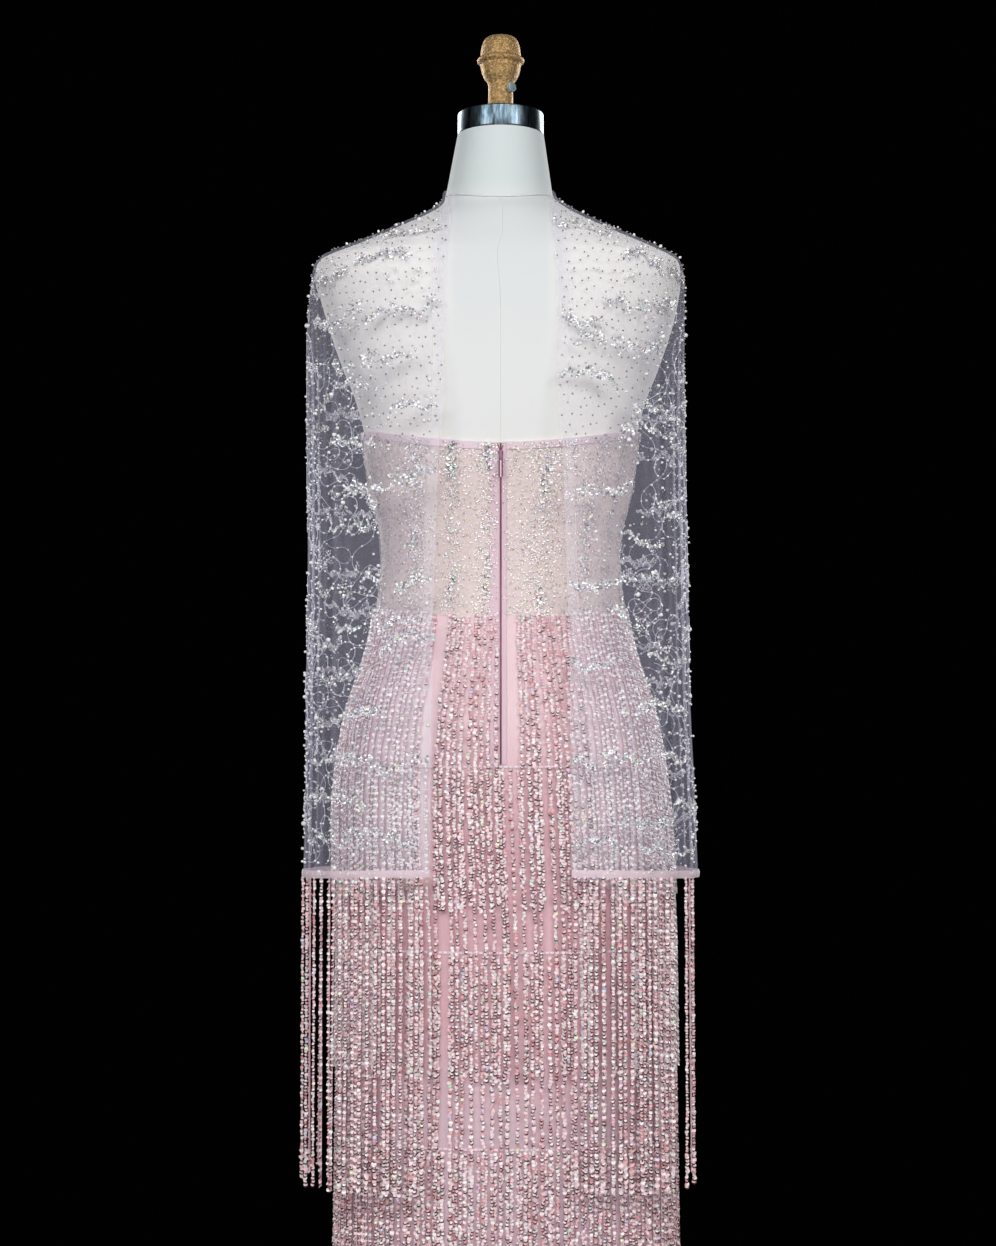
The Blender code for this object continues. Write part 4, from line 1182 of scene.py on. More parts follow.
FRINGE_SHINE = sequin_finish("fringe sequins", ROSE_SHADES, (0.14, 0.32, 0.46, 0.03), 0.05, 0.7, 0.5)
BODICE_SEQUINS = sequin_finish("bodice sequins", BODICE_SHADES, (0.12, 0.36, 0.06, 0.12), 0.35)
BODICE_PAILLETTES = sequin_finish("bodice paillettes", PAILLETTE_SHADES, (0.08, 0.50, 0.42, 0.26), 0.25)
CAPE_SEQUINS = sequin_finish("cape sequins", CAPE_SHADES, (0.18, 0.48, 0.08, 0.05), 0.3)

CAPE_DOTS = metal_finish("cape dots", (0.33, 0.29, 0.29), 0.4, 900.0, 0.00002, 0.3, 400.0, metallic=0.3)
CHROME = metal_finish("chrome", (0.45, 0.50, 0.54), 0.3, 300.0, 0.00002, 0.03)
CHROME_WITH_PAINTED_REFLECTIONS = chrome_with_painted_reflections()
CAST_BRASS = metal_finish("cast brass", (0.58, 0.37, 0.16), 0.5, 620.0, 0.0016, 1.3, 420.0, metallic=0.65)
BLUE_STEEL = metal_finish("blue steel", (0.62, 0.74, 0.82), 0.45, 900.0, 0.00008, 0.25, 400.0, metallic=0.7)
# The zip's dark colour is partly the chain's own and partly painted shade of the gap between the tapes.
ZIP_METAL_WITH_GAP_SHADE = metal_finish("zip metal with painted gap shade", (0.20, 0.045, 0.11), 0.4, 900.0, 0.00003, metallic=0.4)
PULL_METAL = plated("pull metal", (0.86, 0.58, 0.70), (0.10, 0.02, 0.05), 0.0008)
SLIDER_METAL = plated("slider metal", (0.50, 0.26, 0.38), (0.06, 0.015, 0.035), 0.0012)
PAINT = {"metallic": 0.0, "coat": 0.2}
STAND_PAINT = metal_finish("stand paint", (0.55, 0.55, 0.56), 0.45, 500.0, 0.0001, 0.05, 20.0, **PAINT)


# ---- placing pieces


def wear(piece, material):
    """Puts a piece in one finish."""
    piece.data.materials.clear()
    piece.data.materials.append(material)
    return piece


def belongs(piece, slot, *nodes, body="gown"):
    """Rides a piece on its body, and stands it for the nodes that it replaces."""
    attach(piece, body)
    if nodes:
        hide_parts(*nodes)
    return piece


def placed(piece, material, slot, *nodes, body="gown"):
    """A piece in its finish and on its body."""
    return belongs(wear(piece, material), slot, *nodes, body=body)


def grid(start, end, heights, degrees):
    """Grids of angles and heights. start and end are angles, or a list with one angle for each height."""
    start, end = (np.broadcast_to(np.asarray(edge, float), len(heights)) for edge in (start, end))
    columns = max(2, int(math.ceil(np.max(np.abs(end - start)) / degrees))) + 1
    share = np.linspace(0, 1, columns)
    angles = start[:, None] + (end - start)[:, None] * share
    return angles, np.repeat(np.asarray(heights, float)[:, None], columns, axis=1)


def between(top, bottom, angles, rows):
    """Heights from an upper edge to a lower one, each a level or a rule for an angle, row by row."""
    high, low = (edge(angles) if callable(edge) else edge for edge in (top, bottom))
    share = np.linspace(0, 1, rows)[:, None]
    return high + (low - high) * share


def seamed(surface, start, end, level, gap_start, gap_end):
    """The angles of two edges, each moved in from its seam by a gap."""
    return (
        start + gap_start / speed(surface, start, level),
        end - gap_end / speed(surface, end, level),
    )


def cut_size(surface, angles, heights):
    """The width and length of the flat cloth that a panel is cut from."""
    points = surface(angles, heights)
    width = np.linalg.norm(np.diff(points, axis=1), axis=-1).sum(axis=1).max()
    length = np.linalg.norm(np.diff(points, axis=0), axis=-1).sum(axis=0).max()
    return float(width), float(length)


# ---- the dress form and its stand

FORM_TURN = np.arange(0, 360, 3.0)
AXIS_HAIR = 0.0010
SCREW_AXIS_HAIR = 0.0004


def form_torso():
    """The form's body, from its neck seam down to its end under the skirt."""
    shoulders = np.linspace(NECK_SEAM - 0.0002, CAPE_REST_LEVEL, 20)
    levels = np.concatenate([shoulders, np.linspace(CAPE_REST_LEVEL - 0.009, TORSO_BOTTOM, 48)])
    rings = [figure(FORM_TURN, level) for level in levels]
    placed(rings_solid("torso_cover", rings), FORM_JERSEY, "form_cloth", "form_torso")


def form_neck():
    """The form's neck, from its seam up to its ring."""
    seam = figure(FORM_TURN, NECK_SEAM) + np.array((0, 0, SEAM_GAP))
    rim = circle(NECK_TOP_RADIUS, np.radians(FORM_TURN), NECK_TOP)
    rings = [seam + (rim - seam) * share for share in np.linspace(1, 0, 18)]
    placed(rings_solid("neck_cover", rings), FORM_JERSEY, "form_cloth", "form_neck")


def form_seams():
    """The stitched seams of the form's cover: down the middle of its back and front, and round its neck."""
    levels = np.linspace(NECK_SEAM - 0.0005, TORSO_BOTTOM + 0.01, 120)
    middles = [moved_out(figure, angle, levels, FORM_SEAM_LIFT) for angle in (CENTRE_BACK, CENTRE_FRONT)]
    laid("form_seams", middles, 0.0002, FORM_JERSEY, "form_cloth")
    ring = figure(np.linspace(0, 360, 120), NECK_SEAM) + np.array((0, 0, SEAM_GAP / 2))
    rings = [ring + np.array((0, 0, rise)) for rise in (-NECK_THREAD_RISE, NECK_THREAD_RISE)]
    laid("neck_seam_threads", rings, 0.0005, SEAM_THREAD, "form_cloth")


def rounded(corners, radius=0.0008, steps=3):
    """A profile of (radius, height) points with its inner corners rounded."""
    done = [corners[0]]
    for before, corner, after in zip(corners, corners[1:], corners[2:]):
        corner, before, after = (np.array(point, float) for point in (corner, before, after))
        to_before, to_after = before - corner, after - corner
        reach = min(radius, np.linalg.norm(to_before) / 2.1, np.linalg.norm(to_after) / 2.1)
        start = corner + to_before / np.linalg.norm(to_before) * reach
        end = corner + to_after / np.linalg.norm(to_after) * reach
        for share in np.linspace(0, 1, steps + 1):
            bend = (1 - share) ** 2 * start + 2 * share * (1 - share) * corner + share**2 * end
            done.append(tuple(bend))
    done.append(corners[-1])
    return done


def turned_piece(name, node, outer, material, slot, sides, radius=0.0008):
    """A turned piece that stands for a node, from its outer corners. Its ends close a hair from the axis."""
    corners = [(AXIS_HAIR, outer[0][1]), *outer, (AXIS_HAIR, outer[-1][1])]
    placed(lathe(name, rounded(corners, radius), sides), material, slot, node)


def neck_cap():
    """The polished ring on top of the neck."""
    low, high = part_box("neck_cap")
    outer = [(high.x, high.z), (high.x, low.z)]
    turned_piece("neck_ring", "neck_cap", outer, CHROME_WITH_PAINTED_REFLECTIONS, "chrome", sides=128, radius=0.0014)


def stand_pieces():
    """The round base, the pole and the collar at the form."""
    low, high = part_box("stand_base")
    hub, rim = 0.028, high.x
    outer = [
        (hub, high.z),
        (hub, 0.022),
        (hub + 0.012, 0.017),
        (rim - 0.030, 0.011),
        (rim - 0.002, 0.0085),
        (rim, 0.006),
        (rim, low.z),
    ]
    turned_piece("round_base", "stand_base", outer, STAND_PAINT, "stand_paint", sides=128, radius=0.003)
    low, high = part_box("stand_pole")
    outer = [(high.x, high.z), (high.x, low.z)]
    turned_piece("pole_tube", "stand_pole", outer, CHROME, "chrome", sides=64)
    low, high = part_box("stand_collar")
    neck, lip = 0.024, 0.008
    outer = [(high.x, high.z), (high.x, high.z - lip), (neck, high.z - lip - 0.002), (neck, low.z)]
    turned_piece("collar_socket", "stand_collar", outer, STAND_PAINT, "stand_paint", sides=64, radius=0.0015)


def knob():
    """The cast knob: a dome, a flange, a bulb and the stem, with a parting line up both sides."""
    low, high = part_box("finial_knob")
    corners = [(max(radius, AXIS_HAIR), high.z - drop) for radius, drop in KNOB_OUTLINE]
    corners += [(STEM_RADIUS, low.z), (AXIS_HAIR, low.z)]
    turn = np.arange(0, 360, 4.0)
    from_parting = np.minimum(np.abs(turn - PARTING_LINE), np.abs(turn - PARTING_LINE - 180))
    ridge = PARTING_RIDGE * bell(from_parting, 0, PARTING_SPREAD)
    rings = [
        circle(radius + ridge * min(1, radius / STEM_RADIUS), np.radians(turn), height)
        for radius, height in rounded(corners, 0.0012)
    ]
    placed(rings_solid("cast_knob", rings), CAST_BRASS, "cast_brass", "finial_knob")


def cut(piece, cutter):
    """Cuts a helper out of a piece, and removes it."""
    modifier = piece.modifiers.new("Cut", "BOOLEAN")
    modifier.object = cutter
    modifier.operation = "DIFFERENCE"
    modifier.solver = "EXACT"
    graph = bpy.context.evaluated_depsgraph_get()
    mesh = bpy.data.meshes.new_from_object(piece.evaluated_get(graph), depsgraph=graph)
    piece.modifiers.clear()
    piece.data = mesh
    bpy.data.objects.remove(cutter)
    return piece


def set_screw():
    """The screw that holds the knob, with a slot across its head."""
    low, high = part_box("finial_screw")
    seat = STEM_RADIUS + SEAM_GAP
    top, end = seat + SCREW_HEAD_LENGTH, seat - SCREW_SHANK_LENGTH
    corners = [
        (SCREW_AXIS_HAIR, top),
        (SCREW_HEAD_RADIUS, top),
        (SCREW_HEAD_RADIUS, seat),
        (SCREW_SHANK_RADIUS, seat),
        (SCREW_SHANK_RADIUS, end),
        (SCREW_AXIS_HAIR, end),
    ]
    screw = lathe("set_screw", rounded(corners, 0.0005), 40)
    cut(screw, box_of("slot", (SCREW_HEAD_RADIUS * 3, *SCREW_SLOT), (0, 0, top)))
    lie = Matrix.Rotation(math.pi / 2, 4, "Y") @ Matrix.Rotation(SCREW_SLOT_TURN, 4, "Z")
    lie = Matrix.Rotation(math.radians(SCREW_BEARING), 4, "Z") @ lie
    screw.data.transform(Matrix.Translation((0, 0, (low.z + high.z) / 2)) @ lie)
    smoothed(screw.data, 30)
    placed(screw, BLUE_STEEL, "blue_steel", "finial_screw")


def box_of(name, size, centre):
    """A block of this size about its centre."""
    x, y, z = (side / 2 for side in size)
    corners = np.array([(x, y, 0), (-x, y, 0), (-x, -y, 0), (x, -y, 0)])
    return rings_solid(name, [corners + np.array(centre) + np.array((0, 0, level)) for level in (z, -z)])


# ---- the gown


def panel(name, node, slot, start, end, top, bottom, rows, material):
    """A bodice or skirt panel between two seams, and the size of the cloth that it is cut from."""
    gap = SEAM_SHOWN / 2
    level = (top(start) + (bottom(start) if callable(bottom) else bottom)) / 2
    start, end = seamed(figure, start, end, level, gap, gap)
    angles, _ = grid(start, end, np.zeros(rows), COLUMN_STEP)
    heights = between(top, bottom, angles, rows)
    piece = shell(name, figure, angles, heights, REST_GAP, CLOTH)
    return placed(piece, material, slot, node), cut_size(figure, angles, heights)


def bodice():
    """The seven panels of the stretched lining."""
    seams = (
        ("back_side_left", SIDE_LEFT, BACK_SEAM_LEFT),
        ("back_centre_left", BACK_SEAM_LEFT, CENTRE_BACK),
        ("back_centre_right", CENTRE_BACK, BACK_SEAM_RIGHT),
        ("back_side_right", BACK_SEAM_RIGHT, SIDE_RIGHT),
        ("front_side_right", SIDE_RIGHT, FRONT_SEAM_RIGHT),
        ("front_centre", FRONT_SEAM_RIGHT, FRONT_SEAM_LEFT),
        ("front_side_left", FRONT_SEAM_LEFT, SIDE_LEFT + 360),
    )
    for name, start, end in seams:
        edges = (start, end, bodice_top, waist_join)
        piece, size = panel("panel_" + name, "bodice_" + name, "nude_mesh", *edges, 26, NUDE_LINING)


def binding_edge(angle):
    """The lower edge of the bodice's top binding."""
    return bodice_top(angle) - BODICE_TOP_BINDING


def top_binding():
    """The binding of the bodice's top edge, from one side of the zip round to the other."""
    rows = 4
    beside_zip = ZIP_CHAIN_WIDTH / 2 + 2 * SEAM_GAP
    gaps = (beside_zip + TAPE_RIGHT_WIDTH, beside_zip + TAPE_LEFT_WIDTH)
    start, end = seamed(figure, CENTRE_BACK, CENTRE_BACK + 360, BODICE_TOP_AT_SIDES, *gaps)
    angles, _ = grid(start, end, np.zeros(rows), COLUMN_STEP)
    heights = between(bodice_top, binding_edge, angles, rows)
    piece = shell("top_edge_binding", figure, angles, heights, ON_CLOTH + SEAM_GAP, TRIM)
    placed(piece, LILAC_BINDING, "pink_binding", "bodice_binding")


def skirt():
    """The skirt's three panels, each with its flat size: back left, back right and front."""
    spans = (
        ("back_left", SIDE_LEFT, CENTRE_BACK),
        ("back_right", CENTRE_BACK, SIDE_RIGHT),
        ("front", SIDE_RIGHT, SIDE_LEFT + 360),
    )
    return [
        panel("satin_" + name, "skirt_" + name, "pink_satin", *span, waist_join, SKIRT_HEM, 32, PINK_SATIN)
        for name, *span in spans
    ]


def hung_strands(surface, angles, tops, lengths, start, swing, drift, random):
    """Paths that hang from their angles on a surface, drifting to one side, and where outward is on each."""
    share = np.linspace(0, 1, STRAND_POINTS)
    fall = lengths[:, None] * share
    heights = tops[:, None] - fall
    waves = random.uniform(0, 2 * math.pi, (len(angles), 1))
    wave = STRAND_WAVE * np.sin(waves + share * STRAND_WAVE_TURN) * share
    sway = drift[:, None] * share**STRAND_DRIFT_POWER + wave
    turned = angles[:, None] + sway / speed(surface, angles, tops)[:, None]
    return moved_out(surface, turned, heights, start + swing * fall), outward(surface, turned, heights)


def fringe_piece(name, node, hung, seed, sizes, shift):
    """Grows sequins and their core threads along hung strands. shift moves the shades of a strand."""
    paths, out = hung
    strands = len(paths)
    random = np.random.default_rng(seed)
    tone = random.normal(0, STRAND_TONE, (strands, 1)) + np.reshape(shift, (-1, 1))
    girth = random.uniform(*STRAND_GIRTHS, (strands, 1))
    along = np.linspace(0, 1, STRAND_POINTS)[None, :]
    base = paths_mesh(name + "_paths", paths, along=along, tone=tone, girth=girth, out=out)
    settings = {"Seed": seed, "Finish": FRINGE_SHINE, "Thread finish": PINK_THREAD, **sizes}
    return belongs(grown(name, base, THREADING, **settings), "sequin_fringe", node)


def bare(angles, height):
    """Where the first tier leaves plain strips: beside the zip, and further to its left."""
    x = figure(angles, height)[..., 0]
    behind = np.sin(np.radians(angles)) > 0
    by_zip = (x > -BARE_RIGHT_OF_ZIP) & (x < BARE_LEFT_OF_ZIP)
    further = (x > BARE_STRIP[0]) & (x < BARE_STRIP[1])
    return behind & (by_zip | further)


def bunched(angles, surface, height, pitch, spread, random):
    """Moves strands a little, singly and with their neighbours, so that gaps open between groups."""
    count = len(angles)
    single = random.normal(0, spread * pitch, count)
    groups = random.normal(0, spread * pitch, count // BUNCH + 2)
    together = np.repeat(groups, BUNCH)[:count]
    return angles + (single + together) / speed(surface, angles, height)


def fringe_tiers():
    """The five tiers of fringe, the first from the waist join and the others from their rows on the skirt."""
    done = []
    random = np.random.default_rng(SEEDS["tiers"])
    for tier, top in enumerate((WAIST_JOIN_AT_SIDES, *FRINGE_ROWS), start=1):
        first = tier == 1
        pitch = FIRST_TIER_PITCH if first else LOWER_TIER_PITCH
        angles = spaced_round(figure, top, CENTRE_BACK, CENTRE_BACK + 360, pitch)
        angles = angles + (tier % 2) * 180 / len(angles)
        bunching = FIRST_TIER_BUNCHING if first else LOWER_TIER_BUNCHING
        angles = bunched(angles, figure, top, pitch, bunching, random)
        if first:
            angles = angles[~bare(angles, top)]
        count = len(angles)
        uneven = random.uniform(0.0, TOP_UNEVENNESS, count)
        tops = (waist_join(angles) + TOP_OVERLAP if first else top - TOP_OVERLAP) - uneven
        reach = FRINGE_LENGTH - TIER_CLEARANCE - (FIRST_TIER_CLEARANCE if first else 0)
        lengths = reach - np.abs(random.normal(0, END_UNEVENNESS, count))
        drift = random.normal(0, TIER_DRIFT, count)
        hung = hung_strands(
            figure, angles, tops, lengths, ON_CLOTH + FRINGE_STAND, FRINGE_SWING, drift, random
        )
        sizes = {**FIRST_TIER_SEQUINS, "Finish": FIRST_TIER_SHINE} if first else LOWER_TIER_SEQUINS
        x = figure(angles, top)[:, 0]
        # Strands under the cape on the upper tiers get painted light, which offsets the net's shadow on them.
        covered = (np.abs(x) > COVER_EDGE) | (np.sin(np.radians(angles)) < 0)
        painted_light_tier = tier <= PAINTED_LIGHT_TIERS
        shift = (FIRST_TIER_TONE if first else 0.0) + COVERED_PAINTED_LIGHT_TONE * (covered & painted_light_tier)
        seed = SEEDS["strands"] + tier
        done.append(fringe_piece(f"strands_tier_{tier}", f"fringe_tier_{tier}", hung, seed, sizes, shift))
    return done


def row_headings():
    """The tapes that carry the fringe, and the stitches that hold them."""
    done = []
    lift = ON_CLOTH + SEAM_GAP / 3
    all_round = np.linspace(CENTRE_BACK, CENTRE_BACK + 360, 241)
    rows = []
    for number, row in enumerate(FRINGE_ROWS, start=2):
        edges = (row + HEADING_WIDTH / 2, row - HEADING_WIDTH / 2)
        angles, heights = grid(CENTRE_BACK, CENTRE_BACK + 360, edges, COLUMN_STEP)
        name = f"heading_tape_{number}"
        heading = shell(name, figure, angles[:, :-1], heights[:, :-1], lift, HEADING_THICKNESS, ring=True)
        done.append(placed(heading, PINK_TAPE, "pink_binding"))
        rows.append(moved_out(figure, all_round, row + 0.0002, lift + HEADING_THICKNESS + 0.0002))
    done.append(stitched("heading_stitches", rows, HEADING_STITCHES, HEADING_THREAD, "pink_binding"))
    return done


# ---- the zip


def strip_down_back(name, near, far, rows=60):
    """A strip down the centre back between two distances from its middle, positive towards the left."""
    heights = np.linspace(ZIP_TOP, ZIP_END, rows)
    pace = speed(figure, CENTRE_BACK, heights)
    low, high = sorted((-near, -far))
    angles, heights = grid(CENTRE_BACK + low / pace, CENTRE_BACK + high / pace, heights, 2.0)
    return shell(name, figure, angles, heights, ON_CLOTH + SEAM_GAP, TAPE_THICKNESS)


def zip_pieces():
    """The zip: its two tapes, the line and teeth of its closed chain, and the open ends above the slider."""
    chain = ZIP_CHAIN_WIDTH / 2
    beside = chain + SEAM_GAP
    left = strip_down_back("zip_tape_cloth_left", beside, beside + TAPE_LEFT_WIDTH)
    right = strip_down_back("zip_tape_cloth_right", -beside, -beside - TAPE_RIGHT_WIDTH)
    placed(left, PINK_TAPE, "pink_binding", "zip_tape_left")
    placed(right, PINK_TAPE, "pink_binding", "zip_tape_right")
    heights = np.linspace(ZIP_TOP - 0.0006, ZIP_END + 0.0006, 160)
    teeth = moved_out(figure, CENTRE_BACK, heights, ON_CLOTH + SEAM_GAP + TEETH_LIFT)
    stitched("zip_coil", [teeth], ZIP_TEETH, ZIP_METAL_WITH_GAP_SHADE, "plated_zip")
    # The dark line down the chain: the chain's colour, and painted shade of the gap between the tapes.
    line = strip_down_back("zip_line", -chain * 0.8, chain * 0.8)
    placed(line, ZIP_METAL_WITH_GAP_SHADE, "plated_zip", "zip_chain")
    heights = np.linspace(ZIP_TOP - 0.0004, SLIDER_HEIGHT + SLIDER_PLATE[2] / 2, 12)
    apart = OPEN_END_NEAR + OPEN_END_SPREAD * (heights - heights[-1]) / (heights[0] - heights[-1])
    pace = speed(figure, CENTRE_BACK, heights)
    ends = [
        moved_out(figure, CENTRE_BACK + side * apart / pace, heights, ON_CLOTH + SEAM_GAP + OPEN_END_LIFT)
        for side in (-1, 1)
    ]
    laid("zip_coil_ends", ends, 0.0005, ZIP_METAL_WITH_GAP_SHADE, "plated_zip")
    fastener()


def outline(wide, high, corner, steps=8):
    """A rounded rectangle about the origin, anticlockwise."""
    points = []
    for quarter, (x, y) in enumerate(((1, 1), (-1, 1), (-1, -1), (1, -1))):
        for step in range(steps + 1):
            turn = math.radians(90 * (quarter + step / steps))
            across = x * (wide / 2 - corner) + corner * math.cos(turn)
            points.append((across, y * (high / 2 - corner) + corner * math.sin(turn)))
    return np.array(points)


def tablet(name, shape, thickness, edge=0.00015):
    """A flat plate with softened edges from an outline, standing in the XZ plane and facing +Y."""
    rings = []
    for level, inset in ((1, edge), (0.75, 0), (0.25, 0), (0, edge)):
        size = np.abs(shape).max(axis=0)
        ring = shape * (1 - inset / size)
        rings.append(np.column_stack([-ring[:, 0], np.full(len(ring), level * thickness), ring[:, 1]]))
    return rings_solid(name, rings)


def fastener():
    """The slider with its bridge, as it stands on the chain, and the pull tab that turns in the bridge."""
    wide, thick, long = SLIDER_PLATE
    ends = [moved_out(figure, CENTRE_BACK, SLIDER_HEIGHT + side * long / 2, SLIDER_SEAT) for side in (-1, 1)]
    rise = ends[1] - ends[0]
    place = Matrix.Translation(sum(ends) / 2) @ Matrix.Rotation(-math.atan2(rise[1], rise[2]), 4, "X")
    shape = outline(wide, long, SLIDER_CORNER)
    shape[:, 0] *= 1 - SLIDER_TAPER + SLIDER_TAPER * (shape[:, 1] / shape[:, 1].max())
    body = tablet("slider_body", shape, thick)
    half = SLIDER_BRIDGE_LENGTH / 2
    foot, knee, crown = thick * 0.5, thick + 0.0013, thick + 0.0021
    leg = [(foot, half - 0.0005), (knee, half - 0.0004), (crown, half - 0.0012)]
    arch = [(0, out, -along) for out, along in leg] + [(0, out, along) for out, along in reversed(leg)]
    bridge = tube("slider_bridge", arch, SLIDER_WIRE, 10)
    for piece in (body, bridge):
        piece.data.transform(place)
        placed(piece, SLIDER_METAL, "plated_zip")
    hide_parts("zip_slider")
    low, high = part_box("zip_pull")
    tab = tablet("pull_tab", outline(high.x - low.x, high.z - low.z, PULL_CORNER), high.y - low.y)
    tab.data.transform(Matrix.Translation((0, low.y, (low.z + high.z) / 2)))
    eye_wide, eye_long, eye_corner = PULL_EYE
    cutter = tablet("eye", outline(eye_wide, eye_long, eye_corner), 0.004)
    cutter.data.transform(Matrix.Translation((0, low.y - 0.0015, high.z - PULL_EYE_BAR - eye_long / 2)))
    cut(tab, cutter)
    smoothed(tab.data, 40)
    placed(tab, PULL_METAL, "plated_zip", "zip_pull", body="zip_pull")


def tube(name, path, radius, sides):
    """A round bar along a path, with flat ends."""
    path = np.array(path, float)
    heading = np.gradient(path, axis=0)
    heading /= np.linalg.norm(heading, axis=1, keepdims=True)
    rings = []
    turn = np.linspace(0, 2 * math.pi, sides, endpoint=False)
    across = np.cross(heading[0], (0.3, 0.9, 0.1))
    for point, way in zip(path, heading):
        across = across - way * (across @ way)
        across /= np.linalg.norm(across)
        other = np.cross(across, way)
        rings.append(point + radius * (np.outer(np.cos(turn), across) + np.outer(np.sin(turn), other)))
    return rings_solid(name, rings)


# ---- the cape


def gathered(angles, heights):
    """How closely the net is gathered: nothing where it is flat, more at the folds beside its side lines."""
    hanging = np.clip((CAPE_REST_LEVEL - heights) / GATHERS_FULL_BELOW, 0, 1)
    share = 0.0
    for from_side, amount, spread in GATHER_ROWS:
        share = share + amount * bell(side_of(angles), from_side, spread)
    return share * hanging


def cape_spans(heights):
    """The left and right edges of the cape's three panels, as angles for each height."""
    gap = SEAM_GAP / 2 / speed(cape, SIDE_LEFT, heights)
    return {
        "back_left": (SIDE_LEFT + gap, opening_angle(heights, 1)),
        "back_right": (opening_angle(heights, -1), SIDE_RIGHT - gap),
        "front": (SIDE_RIGHT + gap, SIDE_LEFT + 360 - gap),
    }


def cape_heights(end, shoulder_rows, hanging_rows):
    """Heights from the cape's neck down to an end, closer together on the shoulders."""
    shoulder = np.linspace(CAPE_NECK, CAPE_REST_LEVEL, shoulder_rows)
    return np.concatenate([shoulder[:-1], np.linspace(CAPE_REST_LEVEL, end, hanging_rows)])


def sheer_panels():
    """The cape's three panels of net, each with its flat size."""
    done = {}
    heights = cape_heights(CAPE_HEM, 15, 34)
    for side, (start, end) in cape_spans(heights).items():
        angles, levels = grid(start, end, heights, COLUMN_STEP)
        piece = shell("tulle_" + side, cape, angles, levels, 0.0, TULLE)
        point_field(piece.data, "gathered", np.tile(gathered(angles, levels).ravel(), 2))
        placed(piece, CAPE_TULLE, "lavender_tulle", "cape_" + side)
        done[side] = (piece, cut_size(cape, angles, levels))
    return done


def edge_bands():
    """The doubled net along each edge of the opening."""
    heights = cape_heights(CAPE_HEM + CAPE_BINDING_HEIGHT + SEAM_GAP, 18, 46)
    left, right = opening_angle(heights, 1), opening_angle(heights, -1)
    wide = CAPE_BAND_WIDTH / speed(cape, left, heights)
    done = {}
    for side, (start, end) in (("left", (left - wide, left)), ("right", (right, right + wide))):
        angles, levels = grid(start, end, heights, 1.2)
        piece = shell("band_" + side, cape, angles, levels, TULLE + SEAM_GAP, TULLE)
        done["back_" + side] = placed(piece, BAND_TULLE, "lavender_tulle", "cape_band_" + side)
    return done


def hem_bindings():
    """The binding of each panel's hem, a little fuller in its middle."""
    done = {}
    rows = 5
    heights = np.linspace(CAPE_HEM + CAPE_BINDING_HEIGHT, CAPE_HEM, rows)
    roll = TULLE + SEAM_GAP + HEM_ROLL * np.sin(np.linspace(0, math.pi, rows))[:, None]
    for side, (start, end) in cape_spans(heights).items():
        angles, levels = grid(start, end, heights, 1.4)
        piece = shell("hem_" + side, cape, angles, levels, roll, TRIM)
        done[side] = placed(piece, LILAC_BINDING, "pink_binding", "cape_binding_" + side)
    return done


def angles_at_reach(reaches, behind):
    """Angles round the cape's hem where it is this far to the left, behind or in front."""
    fine = np.linspace(0.0, 89.0, 891)
    turns = {(1, True): fine, (-1, True): 180 - fine, (1, False): 360 - fine, (-1, False): 180 + fine}
    found = []
    for reach in reaches:
        turn = turns[(1 if reach > 0 else -1, behind)]
        x = np.abs(below_hem(turn, CAPE_HEM)[:, 0])
        found.append(turn[np.argmin(np.abs(x - abs(reach)))])
    return np.array(found)


def cape_fringe():
    """Strands from the cape's hem. Beyond the skirt's width they hang singly, with clear gaps between."""
    done = {}
    random = np.random.default_rng(SEEDS["cape strands"])
    hem = np.array([CAPE_HEM])
    corners = angles_at_reach((CAPE_FRINGE_CORNER, -CAPE_FRINGE_CORNER), True)
    fronts = angles_at_reach((CAPE_FRINGE_CORNER, -CAPE_FRINGE_CORNER), False)
    behind = angles_at_reach(SIDE_STRANDS_BEHIND, True)
    before = angles_at_reach(SIDE_STRANDS_BEFORE, False)
    left, right = (float(opening_angle(hem, toward)[0]) for toward in (1, -1))
    spans = {
        "back_left": (corners[0], left - OPENING_CLEARANCE, behind[behind < 90]),
        "back_right": (right + OPENING_CLEARANCE, corners[1], behind[behind > 90]),
        "front": (fronts[1], fronts[0], before),
    }
    for number, (side, (start_angle, end_angle, loose)) in enumerate(spans.items()):
        angles = spaced_round(below_hem, CAPE_HEM, start_angle, end_angle, CAPE_FRINGE_PITCH)
        angles = bunched(angles, below_hem, CAPE_HEM, CAPE_FRINGE_PITCH, CAPE_BUNCHING, random)
        angles = np.concatenate([angles, loose])
        count, singly = len(angles), len(loose)
        uneven = np.abs(random.normal(0, CAPE_END_UNEVENNESS, count))
        lengths = FRINGE_LENGTH - CAPE_FRINGE_CLEARANCE - uneven
        drift = random.normal(0, CAPE_DRIFT, count)
        tops = np.full(count, CAPE_HEM - SEAM_GAP)
        paths, out = hung_strands(below_hem, angles, tops, lengths, FRINGE_STAND, 0.0, drift, random)
        share = np.linspace(0, 1, STRAND_POINTS)
        start_turn, turning = random.uniform(-0.5, 0.5, (2, count, 1)) * LOOSE_TURNS[:, None, None]
        yaw = (start_turn + turning * share)[-singly:]
        toward = -1 if side == "front" else 1
        out[-singly:] = np.stack([np.sin(yaw), toward * np.cos(yaw), np.zeros_like(yaw)], axis=-1)
        name, node = "cape_strands_" + side, "cape_fringe_" + side
        seed = SEEDS["cape fringe"] + number
        done[side] = fringe_piece(name, node, (paths, out), seed, CAPE_FRINGE_SEQUINS, CAPE_FRINGE_TONE)
    return done


# ---- beadwork. Flat motifs are drawn in metres, then laid on the cloth.


